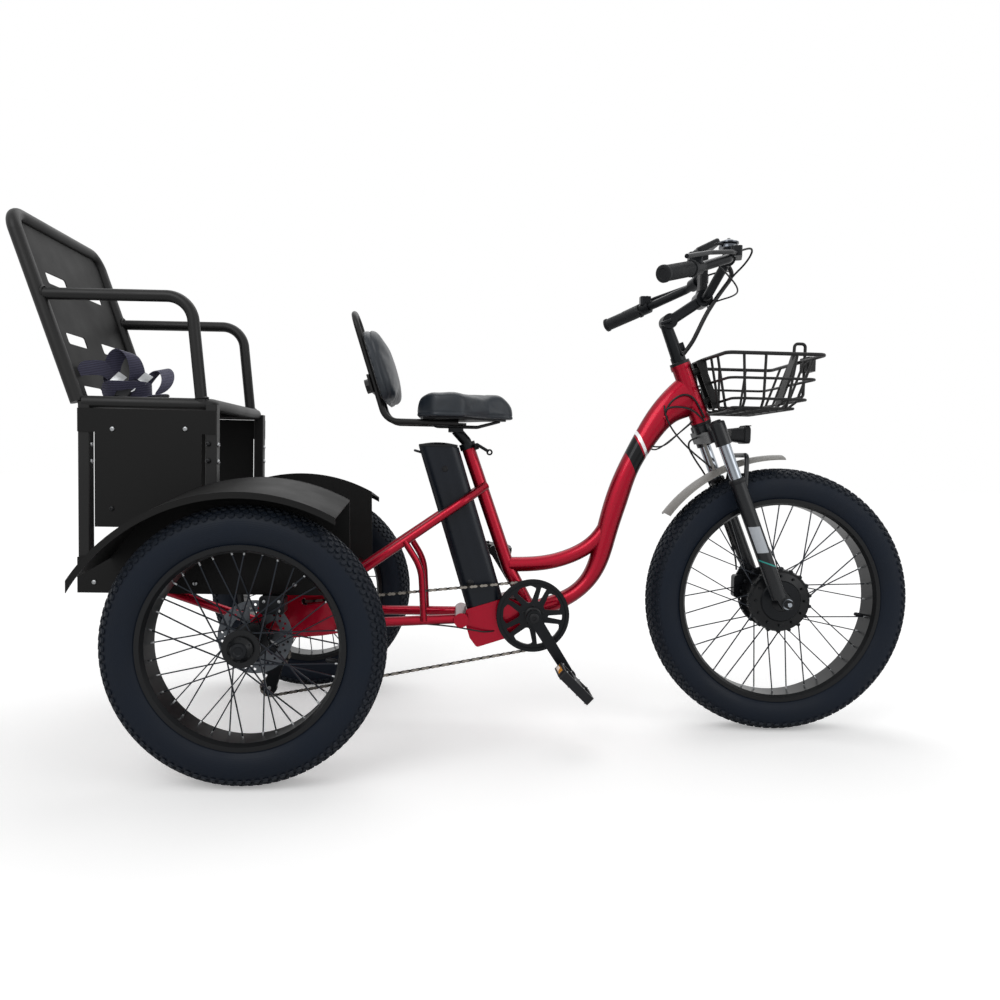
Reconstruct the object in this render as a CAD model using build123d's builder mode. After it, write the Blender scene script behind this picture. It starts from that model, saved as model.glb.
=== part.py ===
from build123d import *
from math import acos, asin, atan2, cos, degrees, hypot, pi, radians, sin, sqrt
import os

# Electric tricycle with a rear passenger seat.  Millimetres, +X forward, +Y left, +Z up,
# origin on the ground under the middle of the vehicle.

# ---------------------------------------------------------------- driving dimensions
wheelbase = 1263
track = 740
front_tyre_radius = 340
rear_tyre_radius = 292
running_gap = 0.3              # between pieces that turn or sit on each other
bench_reach = 572              # rearmost point of the passenger backrest behind the rear axle

rear_axle_x = -(wheelbase + front_tyre_radius - bench_reach) / 2
front_axle_x = rear_axle_x + wheelbase

# wheels
tyre_width = 98
tread_width = 72
rim_width = 78
flange_height = 8
rim_depth = 16
front_flange_radius = 262
rear_flange_radius = 212
spoke_thickness = 2.6
spoke_count = 36
rear_flange_pitch_radius = 34
rear_hub_radius = 26
rear_hub_length = 96
rear_axle_radius = 10
rotor_radius = 80
rotor_thickness = 2.4
rear_rotor_inset = 78          # wheel centre plane to rotor
motor_radius = 78
motor_length = 88
front_rotor_offset = 51
front_axle_radius = 7

# steering and fork
head_angle = 68
fork_offset = 26               # axle ahead of the steering axis
leg_lead = 12                  # fork legs ahead of the steering axis
leg_spacing = 156
stanchion_diameter = 30
lower_diameter = 38
cap_diameter = 40
lower_top = 338                # heights along the steering axis, from hub level
crown_bottom = 432
crown_top = 496
head_tube_length = 156
head_tube_diameter = 48
steerer_diameter = 28.6
steering_lock = 40
stem_joint_height = 768

# frame
bottom_bracket = (624, 301)    # ahead of the rear axle, above ground
bottom_bracket_width = 100
bottom_bracket_diameter = 46
seat_tube_top = (457, 712)
seat_tube_bend = (566, 408)
seat_tube_diameter = 34
step_tube_diameter = 38
main_tube_width = 50
stay_diameter = 22
chainstay_diameter = 24
brace_diameter = 16
carrier_half_width = 95
carrier_thickness = 6
axle_housing_diameter = 46

# drive
spindle_diameter = 20
crank_length = 170
crank_angle = 33               # arm ahead of straight down
chain_line = 60
chain_pitch = 12.7
ring_teeth = 42
cog_teeth = 14
guard_radius = 91
chain_height = 8
chain_width = 6
pulley_radius = 22
pedal_offset = 165

# battery
battery_tilt = 17.4
battery_foot = (459, 311)
battery_depth = 95
battery_width = 88
battery_top_height = 715

# saddle and backrest
saddle_rear = 328
saddle_nose = 567
saddle_half_width = 122
saddle_rise = 135              # saddle top above the top of the seat tube
saddle_depth = 60
saddle_top = seat_tube_top[1] + saddle_rise
saddle_bottom = saddle_top - saddle_depth
shell_thickness = 4
rail_wire = 7
rail_drop = 20
back_loop_half = 48
back_loop_diameter = 15
back_loop_height = 1040
pad_width = 280
pad_length = 184
pad_thickness = 46

# passenger bench
bench_half = 208
bench_tube = 28
back_tube = 30
seat_rail_height = 795
back_foot = (-421, seat_rail_height + 6)
back_head = (-557, seat_rail_height + 412)
arm_height = seat_rail_height + 238
arm_tube = 26
arm_post_top = -166
arm_post_foot = -142
rear_leg_x = -395
front_leg_x = -118
seat_rail_front = -124
leg_size = 25
leg_half = 208
rear_leg_foot = 404
front_leg_foot = 520
sheet_thickness = 2.5
apron_depth = 52
side_sheet_depth = 262
side_sheet_rear = -370
side_sheet_front = -138
pan_thickness = 3
pan_depth = 16
pan_hole_radius = 4.2
pan_hole_spacing_x = 180
pan_hole_spacing_y = 260
slot_rows = (24, 151, 294)     # along the backrest from the pan
slot_height = 27
slot_width = 92
slot_offset = 90

# fenders
fender_radius = 400
fender_outer = 430
fender_rise = 25               # inner edge above the outer edge
fender_thickness = 3
fender_rear = -335
fender_front = 190
panel_bottom = 372

# basket, measured from the top of its bracket on the head tube
basket_length = 238
basket_rear = 12
basket_half = 171
basket_depth = 130
basket_floor_rear = 36
basket_floor_front = 186
basket_floor_half = 150
wire = 6.5
rim_wire = 9

os.makedirs("parts", exist_ok=True)


def save(builder, name):
    """Label a finished sub-part and write its STEP file."""
    builder.part.label = name
    export_step(builder.part, f"parts/{name}.step")


def at(x, y, z):
    """Point given by its distance ahead of the rear axle, to the left and above ground."""
    return Vector(rear_axle_x + x, y, z)


def side_plane(y):
    """Vertical lengthwise plane at y, seen from the right side; local x is ahead of the rear axle."""
    return Plane(origin=at(0, y, 0), x_dir=(1, 0, 0), z_dir=(0, -1, 0))


def normal_plane(path, place):
    """Plane square to a path, its local x kept sideways."""
    return Plane(origin=path @ place, x_dir=(0, 1, 0), z_dir=path % place)


def tube(points, diameter, bend=0.0, mode=Mode.ADD):
    """Round tube through points, its corners bent to a radius."""
    with BuildLine() as route:
        if len(points) > 2:
            FilletPolyline(*points, radius=bend)
        else:
            Line(*points)
    with BuildSketch(Plane(origin=route.line @ 0, z_dir=route.line % 0)) as section:
        Circle(diameter / 2)
    sweep(section.sketch, path=route.line, mode=mode)


def cross_cylinder(x, z, y_from, y_to, diameter, mode=Mode.ADD):
    """Cylinder across the vehicle between two side positions."""
    with BuildSketch(side_plane(y_from)) as disc:
        with Locations((x, z)):
            Circle(diameter / 2)
    extrude(disc.sketch, amount=y_from - y_to, mode=mode)


# ---------------------------------------------------------------- steering frame
tilt = radians(90 - head_angle)
axis_up = Vector(-sin(tilt), 0, cos(tilt))
axis_ahead = Vector(cos(tilt), 0, sin(tilt))
steering_base = Vector(front_axle_x, 0, front_tyre_radius) - axis_ahead * fork_offset
head_tube_bottom = crown_top + 4


def steer(ahead, side, up):
    """Point in the steering frame: ahead of the axis, to the left, and up along it."""
    return steering_base + axis_ahead * ahead + Vector(0, side, 0) + axis_up * up


def steer_plane(ahead, side, up):
    """Plane square to the steering axis."""
    return Plane(origin=steer(ahead, side, up), x_dir=axis_ahead, z_dir=axis_up)


# ---------------------------------------------------------------- wheels
def wheel_profile_plane(centre):
    """Plane through a wheel's axle: local x outward to the right, local y up."""
    return Plane(origin=centre, x_dir=(0, -1, 0), z_dir=(-1, 0, 0))


def wheel_axis(centre):
    return Axis(centre, (0, 1, 0))


def tyre_section(tyre_radius, flange_radius):
    """Balloon carcass with a shoulder each side, seated between the rim flanges."""
    seat = flange_radius - flange_height + running_gap
    foot = rim_width / 2 - 3 - running_gap
    half_width = tyre_width / 2
    side = [
        (foot, seat), (foot, flange_radius + 1), (half_width, flange_radius + 30),
        (half_width - 3, tyre_radius - 22), (half_width - 14, tyre_radius - 8),
    ]
    with BuildLine() as outline:
        Polyline(*side, (0, tyre_radius), *[(-x, r) for x, r in side[::-1]], close=True)
    make_face(outline.edges())


def rim_section(flange_radius):
    """Wide box rim with a hooked flange each side and a sloping inner face."""
    half = rim_width / 2
    seat = flange_radius - flange_height
    inner = flange_radius - rim_depth
    with BuildLine() as outline:
        Polyline(
            (-half, flange_radius), (-half + 3, flange_radius), (-half + 3, seat), (half - 3, seat),
            (half - 3, flange_radius), (half, flange_radius), (half, seat - 2), (half - 9, inner),
            (-half + 9, inner), (-half, seat - 2), close=True
        )
    make_face(outline.edges())


def spoke_solid(centre, hub_point, rim_point):
    """One straight spoke between a hub flange and the rim, both given as (angle, radius, side)."""
    ends = []
    for angle, radius, side in (hub_point, rim_point):
        turn = radians(angle)
        ends.append(Vector(radius * cos(turn), -side, radius * sin(turn)) + centre)
    direction = ends[1] - ends[0]
    with BuildPart() as spoke:
        with BuildSketch(Plane(origin=ends[0], z_dir=direction)):
            Rectangle(spoke_thickness, spoke_thickness)
        extrude(amount=direction.length)
    return spoke.part


def spoke_set(centre, hub_radius, flange_side, rim_radius, cross_angle):
    """Two leading and two trailing spokes; copied round the hub they lace the wheel."""
    step = 360 / spoke_count
    spokes = []
    for place in range(4):
        side = flange_side if place % 2 else -flange_side
        lean = cross_angle if place < 2 else -cross_angle
        angle = place * step
        rim_side = side * 0.25
        spokes.append(
            spoke_solid(centre, (angle + lean, hub_radius, side), (angle, rim_radius + 4, rim_side))
        )
    return spokes


def add_spokes(centre, spokes):
    """Copy the four spokes round the axle and join them to the wheel."""
    copies = []
    for turn in range(0, 360, 360 * 4 // spoke_count):
        for spoke in spokes:
            copies.append(spoke.rotate(wheel_axis(centre), turn))
    add(copies)


def disc_rotor(centre_x, centre_z, y_inner, carrier_radius):
    """Thin brake rotor with a ring of windows."""
    with BuildSketch(side_plane(y_inner)) as face:
        with Locations((centre_x, centre_z)):
            Circle(rotor_radius)
            Circle(carrier_radius, mode=Mode.SUBTRACT)
            with PolarLocations(rotor_radius * 0.62, 6):
                SlotOverall(26, 15, rotation=90, mode=Mode.SUBTRACT)
    extrude(face.sketch, amount=rotor_thickness)


rear_centre = at(0, -track / 2, rear_tyre_radius)
front_centre = Vector(front_axle_x, 0, front_tyre_radius)

with BuildPart() as front_tyre:
    with BuildSketch(wheel_profile_plane(front_centre)):
        tyre_section(front_tyre_radius, front_flange_radius)
    revolve(axis=wheel_axis(front_centre))
save(front_tyre, "front_tyre")

with BuildPart() as rear_tyre_right:
    with BuildSketch(wheel_profile_plane(rear_centre)):
        tyre_section(rear_tyre_radius, rear_flange_radius)
    revolve(axis=wheel_axis(rear_centre))
save(rear_tyre_right, "rear_tyre_right")

motor_spokes = spoke_set(front_centre, motor_radius, 30, front_flange_radius - rim_depth, 22)
with BuildPart() as front_wheel:
    with BuildSketch(wheel_profile_plane(front_centre)):
        rim_section(front_flange_radius)
    revolve(axis=wheel_axis(front_centre))
    with BuildSketch(wheel_profile_plane(front_centre)):
        with BuildLine():
            half = motor_length / 2
            Polyline(
                (-half, front_axle_radius + running_gap), (-half, 30), (-half + 10, motor_radius - 6),
                (-34, motor_radius), (-26, motor_radius + 3), (-26, motor_radius - 6), (26, motor_radius - 6),
                (26, motor_radius + 3), (34, motor_radius), (half - 10, motor_radius - 6), (half, 30),
                (half, front_axle_radius + running_gap), close=True
            )
        make_face()
    revolve(axis=wheel_axis(front_centre))
    add_spokes(front_centre, motor_spokes)
save(front_wheel, "front_wheel")

rear_spokes = spoke_set(rear_centre, rear_flange_pitch_radius, 34, rear_flange_radius - rim_depth, 62)
with BuildPart() as rear_wheel_right:
    with BuildSketch(wheel_profile_plane(rear_centre)):
        rim_section(rear_flange_radius)
    revolve(axis=wheel_axis(rear_centre))
    with BuildSketch(wheel_profile_plane(rear_centre)):
        with BuildLine():
            half = rear_hub_length / 2
            Polyline(
                (-half, rear_axle_radius + 0.05), (-half, rear_hub_radius), (-37, rear_hub_radius),
                (-37, rear_flange_pitch_radius + 5), (-32, rear_flange_pitch_radius + 5), (-30, rear_hub_radius - 2),
                (30, rear_hub_radius - 2), (32, rear_flange_pitch_radius + 5), (37, rear_flange_pitch_radius + 5),
                (37, rear_hub_radius), (half - 4, rear_hub_radius), (half + 6, 17), (half + 6, 0), (half - 6, 0),
                (half - 6, rear_axle_radius + 0.05), close=True
            )
        make_face()
    revolve(axis=wheel_axis(rear_centre))
    add_spokes(rear_centre, rear_spokes)
save(rear_wheel_right, "rear_wheel_right")

rear_rotor_y = -(track / 2 - rear_rotor_inset)
with BuildPart() as rear_rotor_right:
    disc_rotor(0, rear_tyre_radius, rear_rotor_y, rear_axle_radius + running_gap)
    with BuildSketch(side_plane(rear_rotor_y - rotor_thickness)):
        with Locations((0, rear_tyre_radius)):
            Circle(24)
            Circle(rear_axle_radius + running_gap, mode=Mode.SUBTRACT)
    hub_face_y = -(track / 2 - rear_hub_length / 2)
    extrude(amount=rear_rotor_y - rotor_thickness - hub_face_y)
save(rear_rotor_right, "rear_rotor_right")

with BuildPart() as front_rotor:
    disc_rotor(wheelbase, front_tyre_radius, front_rotor_offset + rotor_thickness, front_axle_radius + running_gap)
    with BuildSketch(side_plane(front_rotor_offset)):
        with Locations((wheelbase, front_tyre_radius)):
            Circle(28)
            Circle(front_axle_radius + running_gap, mode=Mode.SUBTRACT)
    extrude(amount=front_rotor_offset - motor_length / 2)
save(front_rotor, "front_rotor")

for source, name in (
    (rear_tyre_right, "rear_tyre_left"),
    (rear_wheel_right, "rear_wheel_left"),
    (rear_rotor_right, "rear_rotor_left"),
):
    with BuildPart() as copy:
        mirror(source.part, about=Plane.XZ)
    save(copy, name)

# ---------------------------------------------------------------- main frame
head_joint = steer(-6, 0, head_tube_bottom + head_tube_length / 2)
crank_centre = at(bottom_bracket[0], 0, bottom_bracket[1])


def between(share_x, share_z):
    """Point placed by its share of the way from the bottom bracket to the head tube."""
    reach = head_joint - crank_centre
    return crank_centre + Vector(reach.X * share_x, 0, reach.Z * share_z)


main_tube_depths = (46, 42, 40, 45, 51, 54, 57, 56, 53, 57, 65, 80, 98)
with BuildPart() as main_frame:
    with BuildLine() as main_path:
        Spline(
            between(0.04, 0.009), between(0.19, 0.048), between(0.326, 0.108), between(0.43, 0.22),
            between(0.486, 0.362), between(0.545, 0.513), between(0.631, 0.677), between(0.766, 0.842),
            head_joint, tangents=[(1, 0, 0.1), (0.82, 0, 0.57)],
        )
    last = len(main_tube_depths) - 1
    for place, depth in enumerate(main_tube_depths):
        with BuildSketch(normal_plane(main_path.line, place / last)):
            Ellipse(main_tube_width / 2, depth / 2)
    loft()
    with BuildLine() as step_path:
        Spline(
            between(-0.148, 0.211), between(0.092, 0.222), between(0.311, 0.274), between(0.504, 0.433),
            tangents=[(1, 0, 0.02), (0.35, 0, 0.94)],
        )
    with BuildSketch(normal_plane(step_path.line, 0)):
        Circle(step_tube_diameter / 2)
    sweep(path=step_path.line)
    tube(
        [at(seat_tube_top[0], 0, seat_tube_top[1]), at(seat_tube_bend[0], 0, seat_tube_bend[1]), crank_centre],
        seat_tube_diameter, 150,
    )
    half = bottom_bracket_width / 2
    cross_cylinder(bottom_bracket[0], bottom_bracket[1], half, -half, bottom_bracket_diameter)
    with BuildSketch(side_plane(-44)) as housing:
        with BuildLine():
            Polyline(
                (458, 309.7), (560, 341.7), (624, 318), (630, 281), (560, 238), (486, 214), (468, 238),
                (455, 280), close=True
            )
        make_face()
        fillet(housing.vertices().sort_by(Axis.Y)[:4], 9)
    extrude(amount=-88)
    with BuildSketch(steer_plane(0, 0, head_tube_bottom)):
        Circle(head_tube_diameter / 2)
    extrude(amount=head_tube_length)
    for cup_start in (head_tube_bottom, head_tube_bottom + head_tube_length - 11):
        with BuildSketch(steer_plane(0, 0, cup_start)):
            Circle(head_tube_diameter / 2 + 2.5)
        extrude(amount=11)
    with BuildSketch(steer_plane(0, 0, head_tube_bottom)):
        Circle(steerer_diameter / 2 + running_gap)
    extrude(amount=head_tube_length, mode=Mode.SUBTRACT)
    for side in (-1, 1):
        with Locations(steer(-88, side * 20, 545)):
            Sphere(8)
    cross_cylinder(
        bottom_bracket[0], bottom_bracket[1], half, -half, spindle_diameter + 0.1, Mode.SUBTRACT
    )
save(main_frame, "main_frame")

# ---------------------------------------------------------------- rear frame
panel_inner = leg_half + leg_size / 2 + sheet_thickness
rear_bar = (-362, 418)
front_bar = (160, 392)
cross_tube = (446, 288)
with BuildPart() as rear_frame:
    for side in (-1, 1):
        tube(
            [at(502, side * 10, 620), at(447, side * 64, 583), at(150, side * carrier_half_width, 374)],
            stay_diameter, 40,
        )
        tube(
            [at(cross_tube[0], side * 50, cross_tube[1]), at(140, side * carrier_half_width, 280)],
            chainstay_diameter,
        )
        tube(
            [at(304, side * 84, 484), at(346, side * 80, 418), at(354, side * 76, 286)],
            brace_diameter, 120,
        )
        with BuildSketch(side_plane(side * carrier_half_width + carrier_thickness / 2)) as plate:
            with BuildLine():
                Polyline(
                    (-46, 262), (-46, 322), (20, 368), (168, 384), (172, 262), (110, 252), (40, 246), close=True
                )
            make_face()
            fillet(plate.vertices(), 10)
            with Locations((95, 338)):
                SlotOverall(70, 18, rotation=8, mode=Mode.SUBTRACT)
        extrude(amount=carrier_thickness)
        housing_start = side * (carrier_half_width - carrier_thickness / 2)
        housing_end = side * (track / 2 - rear_rotor_inset - 12)
        cross_cylinder(0, rear_tyre_radius, housing_start, housing_end, axle_housing_diameter)
        tube([at(-8, side * 190, 300), at(rear_bar[0], side * 190, rear_bar[1])], stay_diameter)
        cross_cylinder(
            0, rear_tyre_radius, side * 80, side * 330, 2 * rear_axle_radius + 0.1, Mode.SUBTRACT
        )
    tube([at(cross_tube[0], -74, cross_tube[1]), at(cross_tube[0], 74, cross_tube[1])], 36)
    for side in (-1, 1):
        # lugs that carry the brake calipers, reaching up from the axle housing
        lug_y = side * (track / 2 - rear_rotor_inset - 19)
        with BuildSketch(side_plane(lug_y + 3)) as lug:
            with BuildLine():
                Polyline((-18, 305), (20, 300), (62, 350), (60, 382), (16, 382), close=True)
            make_face()
            fillet(lug.vertices(), 5)
        extrude(amount=6)
        cross_cylinder(0, rear_tyre_radius, side * 80, side * 330, 2 * rear_axle_radius + 0.1, Mode.SUBTRACT)
    tube([at(rear_bar[0], -panel_inner, rear_bar[1]), at(rear_bar[0], panel_inner, rear_bar[1])], stay_diameter)
    tube([at(front_bar[0], -panel_inner, front_bar[1]), at(front_bar[0], panel_inner, front_bar[1])], stay_diameter)
    add(main_frame.part, mode=Mode.SUBTRACT)
save(rear_frame, "rear_frame")

axle_end = track / 2 + rear_hub_length / 2 - 6 - 0.3
with BuildPart() as rear_axle:
    cross_cylinder(0, rear_tyre_radius, axle_end, -axle_end, 2 * rear_axle_radius)
    cross_cylinder(0, rear_tyre_radius, 58, 50, 60)
    cross_cylinder(0, rear_tyre_radius, 50, -14, 92)
    cross_cylinder(0, rear_tyre_radius, 22, 14, 108)
    with BuildSketch(side_plane(26)):
        with Locations((0, rear_tyre_radius)):
            with PolarLocations(49, 6):
                RegularPolygon(5, 6)
    extrude(amount=6)
    cog_pitch_radius = chain_pitch / (2 * sin(pi / cog_teeth))
    for step in range(7):
        cog_radius = cog_pitch_radius - chain_height / 2 - running_gap + 5.2 * step
        near = -chain_line - 1 + 5 * step
        cross_cylinder(0, rear_tyre_radius, near + 2, near, 2 * cog_radius)
    cross_cylinder(0, rear_tyre_radius, -14, -chain_line - 8, 2 * (cog_pitch_radius - 8))
save(rear_axle, "rear_axle")


# ---------------------------------------------------------------- chain and cranks
def outer_tangent(first, second, side):
    """Points where a line touches two circles (x, z, r) on the same side (+1 top, -1 bottom)."""
    dx, dz = second[0] - first[0], second[1] - first[1]
    reach = hypot(dx, dz)
    base = atan2(dz, dx)
    angle = base + side * acos((first[2] - second[2]) / reach)
    return [(c[0] + c[2] * cos(angle), c[1] + c[2] * sin(angle)) for c in (first, second)]


def inner_tangent(first, second, side):
    """Points where a line crosses over between two circles."""
    dx, dz = second[0] - first[0], second[1] - first[1]
    reach = hypot(dx, dz)
    base = atan2(dz, dx)
    angle = base + side * acos((first[2] + second[2]) / reach)
    start = (first[0] + first[2] * cos(angle), first[1] + first[2] * sin(angle))
    end = (second[0] - second[2] * cos(angle), second[1] - second[2] * sin(angle))
    return [start, end]


def on_circle(circle, direction):
    """Point of a circle in a direction given in degrees."""
    turn = radians(direction)
    return (circle[0] + circle[2] * cos(turn), circle[1] + circle[2] * sin(turn))


ring_pitch_radius = chain_pitch / (2 * sin(pi / ring_teeth))
guide_pulley = (4, 196, pulley_radius)
tension_pulley = (-22, 114, pulley_radius)
ring_circle = (bottom_bracket[0], bottom_bracket[1], ring_pitch_radius)
cog_circle = (0, rear_tyre_radius, cog_pitch_radius)


def chain_loop(offset):
    """Closed outline of the chain, moved out from its pitch line by an offset."""
    ring = (ring_circle[0], ring_circle[1], ring_pitch_radius + offset)
    cog = (cog_circle[0], cog_circle[1], cog_pitch_radius + offset)
    guide = (guide_pulley[0], guide_pulley[1], pulley_radius - offset)
    tension = (tension_pulley[0], tension_pulley[1], pulley_radius + offset)
    top = outer_tangent(cog, ring, 1)
    drop = inner_tangent(cog, guide, -1)
    cross = inner_tangent(guide, tension, 1)
    bottom = outer_tangent(tension, ring, -1)
    with BuildLine() as loop:
        Line(top[0], top[1])
        ThreePointArc(top[1], on_circle(ring, 0), bottom[1])
        Line(bottom[1], bottom[0])
        ThreePointArc(bottom[0], on_circle(tension, 200), cross[1])
        Line(cross[1], cross[0])
        ThreePointArc(cross[0], on_circle(guide, 350), drop[1])
        Line(drop[1], drop[0])
        ThreePointArc(drop[0], on_circle(cog, 180), top[0])
    return loop


with BuildPart() as chain:
    with BuildSketch(side_plane(-chain_line + chain_width / 2)):
        make_face(chain_loop(chain_height / 2).edges())
        make_face(chain_loop(-chain_height / 2).edges(), mode=Mode.SUBTRACT)
    extrude(amount=chain_width)
save(chain, "chain")

with BuildPart() as derailleur:
    for pulley in (guide_pulley, tension_pulley):
        wheel_radius = pulley_radius - chain_height / 2 - running_gap
        cross_cylinder(pulley[0], pulley[1], -chain_line + 4, -chain_line - 5.5, 2 * wheel_radius)
    for near in (-chain_line + 7, -chain_line - 5.5):
        with BuildSketch(side_plane(near)) as cage:
            with BuildLine():
                Polyline((-8, 206), (14, 206), (14, 184), (-10, 100), (-34, 102), (-34, 124), close=True)
            make_face()
            fillet(cage.vertices(), 9)
        extrude(amount=3)
    cross_cylinder(guide_pulley[0], guide_pulley[1], -chain_line + 7, -carrier_half_width + 3, 12)
    with BuildSketch(side_plane(-carrier_half_width + carrier_thickness / 2 + 14)) as hanger:
        with BuildLine():
            Polyline((-12, 188), (20, 188), (48, 262), (26, 270), close=True)
        make_face()
        fillet(hanger.vertices(), 7)
    extrude(amount=14)
    add(rear_frame.part, mode=Mode.SUBTRACT)
save(derailleur, "derailleur")

bb_x, bb_z = bottom_bracket
with BuildPart() as chainring:
    ring_near = -chain_line + 1.2
    with BuildSketch(side_plane(ring_near)):
        with Locations((bb_x, bb_z)):
            Circle(ring_pitch_radius - chain_height / 2 - running_gap)
            Circle(50, mode=Mode.SUBTRACT)
    extrude(amount=2.4)
    guard_near = -chain_line - chain_width / 2 - 1
    with BuildSketch(side_plane(guard_near)):
        with Locations((bb_x, bb_z)):
            Circle(guard_radius)
            Circle(spindle_diameter / 2, mode=Mode.SUBTRACT)
            with PolarLocations(0, 5, start_angle=crank_angle):
                with BuildSketch(mode=Mode.SUBTRACT) as petal:
                    with BuildLine():
                        Polyline((36, -5), (36, 5), (66, 25), (73, 13), (73, -13), (66, -25), close=True)
                    make_face()
                    fillet(petal.vertices(), 4)
            with PolarLocations(0, 5, start_angle=crank_angle + 36):
                with BuildSketch(mode=Mode.SUBTRACT) as slit:
                    with BuildLine():
                        Polyline((40, -2.5), (40, 2.5), (72.5, 7), (72.5, -7), close=True)
                    make_face()
                    fillet(slit.vertices(), 2)
    extrude(amount=5)
    with BuildSketch(side_plane(guard_near - 5)):
        with Locations((bb_x, bb_z)):
            Circle(guard_radius)
            Circle(guard_radius - 10, mode=Mode.SUBTRACT)
    extrude(amount=2)
    with BuildSketch(side_plane(ring_near - 2.4)):
        with Locations((bb_x, bb_z)):
            Circle(ring_pitch_radius - chain_height / 2 - running_gap - 2)
            Circle(guard_radius - 24, mode=Mode.SUBTRACT)
    extrude(amount=ring_near - 2.4 - guard_near + 1)
save(chainring, "chainring")

arm_turn = radians(-90 + crank_angle)
pedal_x = bb_x + crank_length * cos(arm_turn)
pedal_z = bb_z + crank_length * sin(arm_turn)
left_pedal_x = 2 * bb_x - pedal_x
left_pedal_z = 2 * bb_z - pedal_z
arm_inner = -guard_near + 24
arm_thickness = 15


def crank_arm(end_x, end_z, near_y):
    """Arm tapering from the spindle boss to the pedal boss, its section rounded."""
    with BuildSketch(side_plane(near_y)) as arm:
        with Locations((bb_x, bb_z)):
            Circle(19)
        with Locations((end_x, end_z)):
            Circle(14)
        with BuildLine():
            first = outer_tangent((bb_x, bb_z, 15), (end_x, end_z, 12), 1)
            second = outer_tangent((bb_x, bb_z, 15), (end_x, end_z, 12), -1)
            Polyline(first[0], first[1], second[1], second[0], close=True)
        make_face()
        with Locations((end_x, end_z)):
            Circle(7 + 0.05, mode=Mode.SUBTRACT)
    extrude(arm.sketch, amount=arm_thickness)


with BuildPart() as crank_arms:
    crank_arm(pedal_x, pedal_z, -arm_inner)
    crank_arm(left_pedal_x, left_pedal_z, arm_inner + arm_thickness)
    cross_cylinder(bb_x, bb_z, arm_inner + 2, -arm_inner - 2, spindle_diameter - running_gap)
    cross_cylinder(bb_x, bb_z, -arm_inner - arm_thickness, -arm_inner - arm_thickness - 2, 24)
    cross_cylinder(bb_x, bb_z, arm_inner + arm_thickness + 2, arm_inner + arm_thickness, 24)
save(crank_arms, "crank_arms")


def pedal(end_x, end_z, side, pitch):
    """Platform pedal: an axle, two side rails with cleats and two end bars, turned nose down."""
    pedal_y = side * pedal_offset
    inner_y = side * (arm_inner + running_gap)
    cross_cylinder(end_x, end_z, max(inner_y, side * (pedal_offset + 42)), min(inner_y, side * (pedal_offset + 42)), 14)
    body = Plane(origin=at(end_x, pedal_y, end_z), x_dir=(cos(pitch), 0, sin(pitch)), z_dir=(-sin(pitch), 0, cos(pitch)))
    with BuildSketch(body.offset(-11)) as frame:
        RectangleRounded(98, 84, 8)
        with Locations((27, 0), (-27, 0)):
            RectangleRounded(30, 62, 3, mode=Mode.SUBTRACT)
    extrude(frame.sketch, amount=22)


with BuildPart() as pedal_right:
    pedal(pedal_x, pedal_z, -1, radians(-44))
save(pedal_right, "pedal_right")
with BuildPart() as pedal_left:
    pedal(left_pedal_x, left_pedal_z, 1, radians(-10))
save(pedal_left, "pedal_left")

# ---------------------------------------------------------------- battery
lean = radians(battery_tilt)
battery_up = Vector(-sin(lean), 0, cos(lean))
battery_ahead = Vector(cos(lean), 0, sin(lean))
battery_base = at(battery_foot[0], 0, battery_foot[1]) + battery_ahead * (battery_depth / 2)
with BuildPart() as battery:
    with BuildSketch(Plane(origin=battery_base, x_dir=battery_ahead, z_dir=battery_up)):
        RectangleRounded(battery_depth, battery_width, 22)
    extrude(amount=460)
    split(bisect_by=Plane.XY.offset(battery_top_height), keep=Keep.BOTTOM)
    add(main_frame.part, mode=Mode.SUBTRACT)
    add(rear_frame.part, mode=Mode.SUBTRACT)
    handle = battery_base + battery_up * 405 - battery_ahead * (battery_depth / 2)
    tube(
        [handle + battery_ahead * 6 + Vector(0, -16, 0), handle + Vector(-16, -16, 8),
         handle + Vector(-16, 16, 8), handle + battery_ahead * 6 + Vector(0, 16, 0)], 6, 8,
    )
save(battery, "battery")

# ---------------------------------------------------------------- saddle
post_foot = at(seat_tube_top[0], 0, seat_tube_top[1])
seat_dir = (post_foot - at(seat_tube_bend[0], 0, seat_tube_bend[1])).normalized()
shell_bottom = saddle_bottom - shell_thickness
rail_height = saddle_bottom - rail_drop
post_head = at(seat_tube_top[0] - 33, 0, rail_height - rail_wire / 2 - running_gap)
with BuildPart() as seat_post:
    tube([post_foot, post_foot + seat_dir * 20, post_head - Vector(0, 0, 4)], 27, 14)
    with BuildSketch(Plane(origin=post_foot, z_dir=seat_dir)):
        Circle(seat_tube_diameter / 2 + 3.5)
    extrude(amount=16)
    cross_cylinder(seat_tube_top[0] + 19, seat_tube_top[1] + 10, 18, -34, 9)
    tube([at(seat_tube_top[0] + 19, -31, seat_tube_top[1] + 12), at(507, -34, 706)], 8)
    with BuildSketch(Plane.XY.offset(post_head.Z)):
        with Locations((post_head.X, 0)):
            RectangleRounded(38, 56, 6)
    extrude(amount=-10)
save(seat_post, "seat_post")

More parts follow.
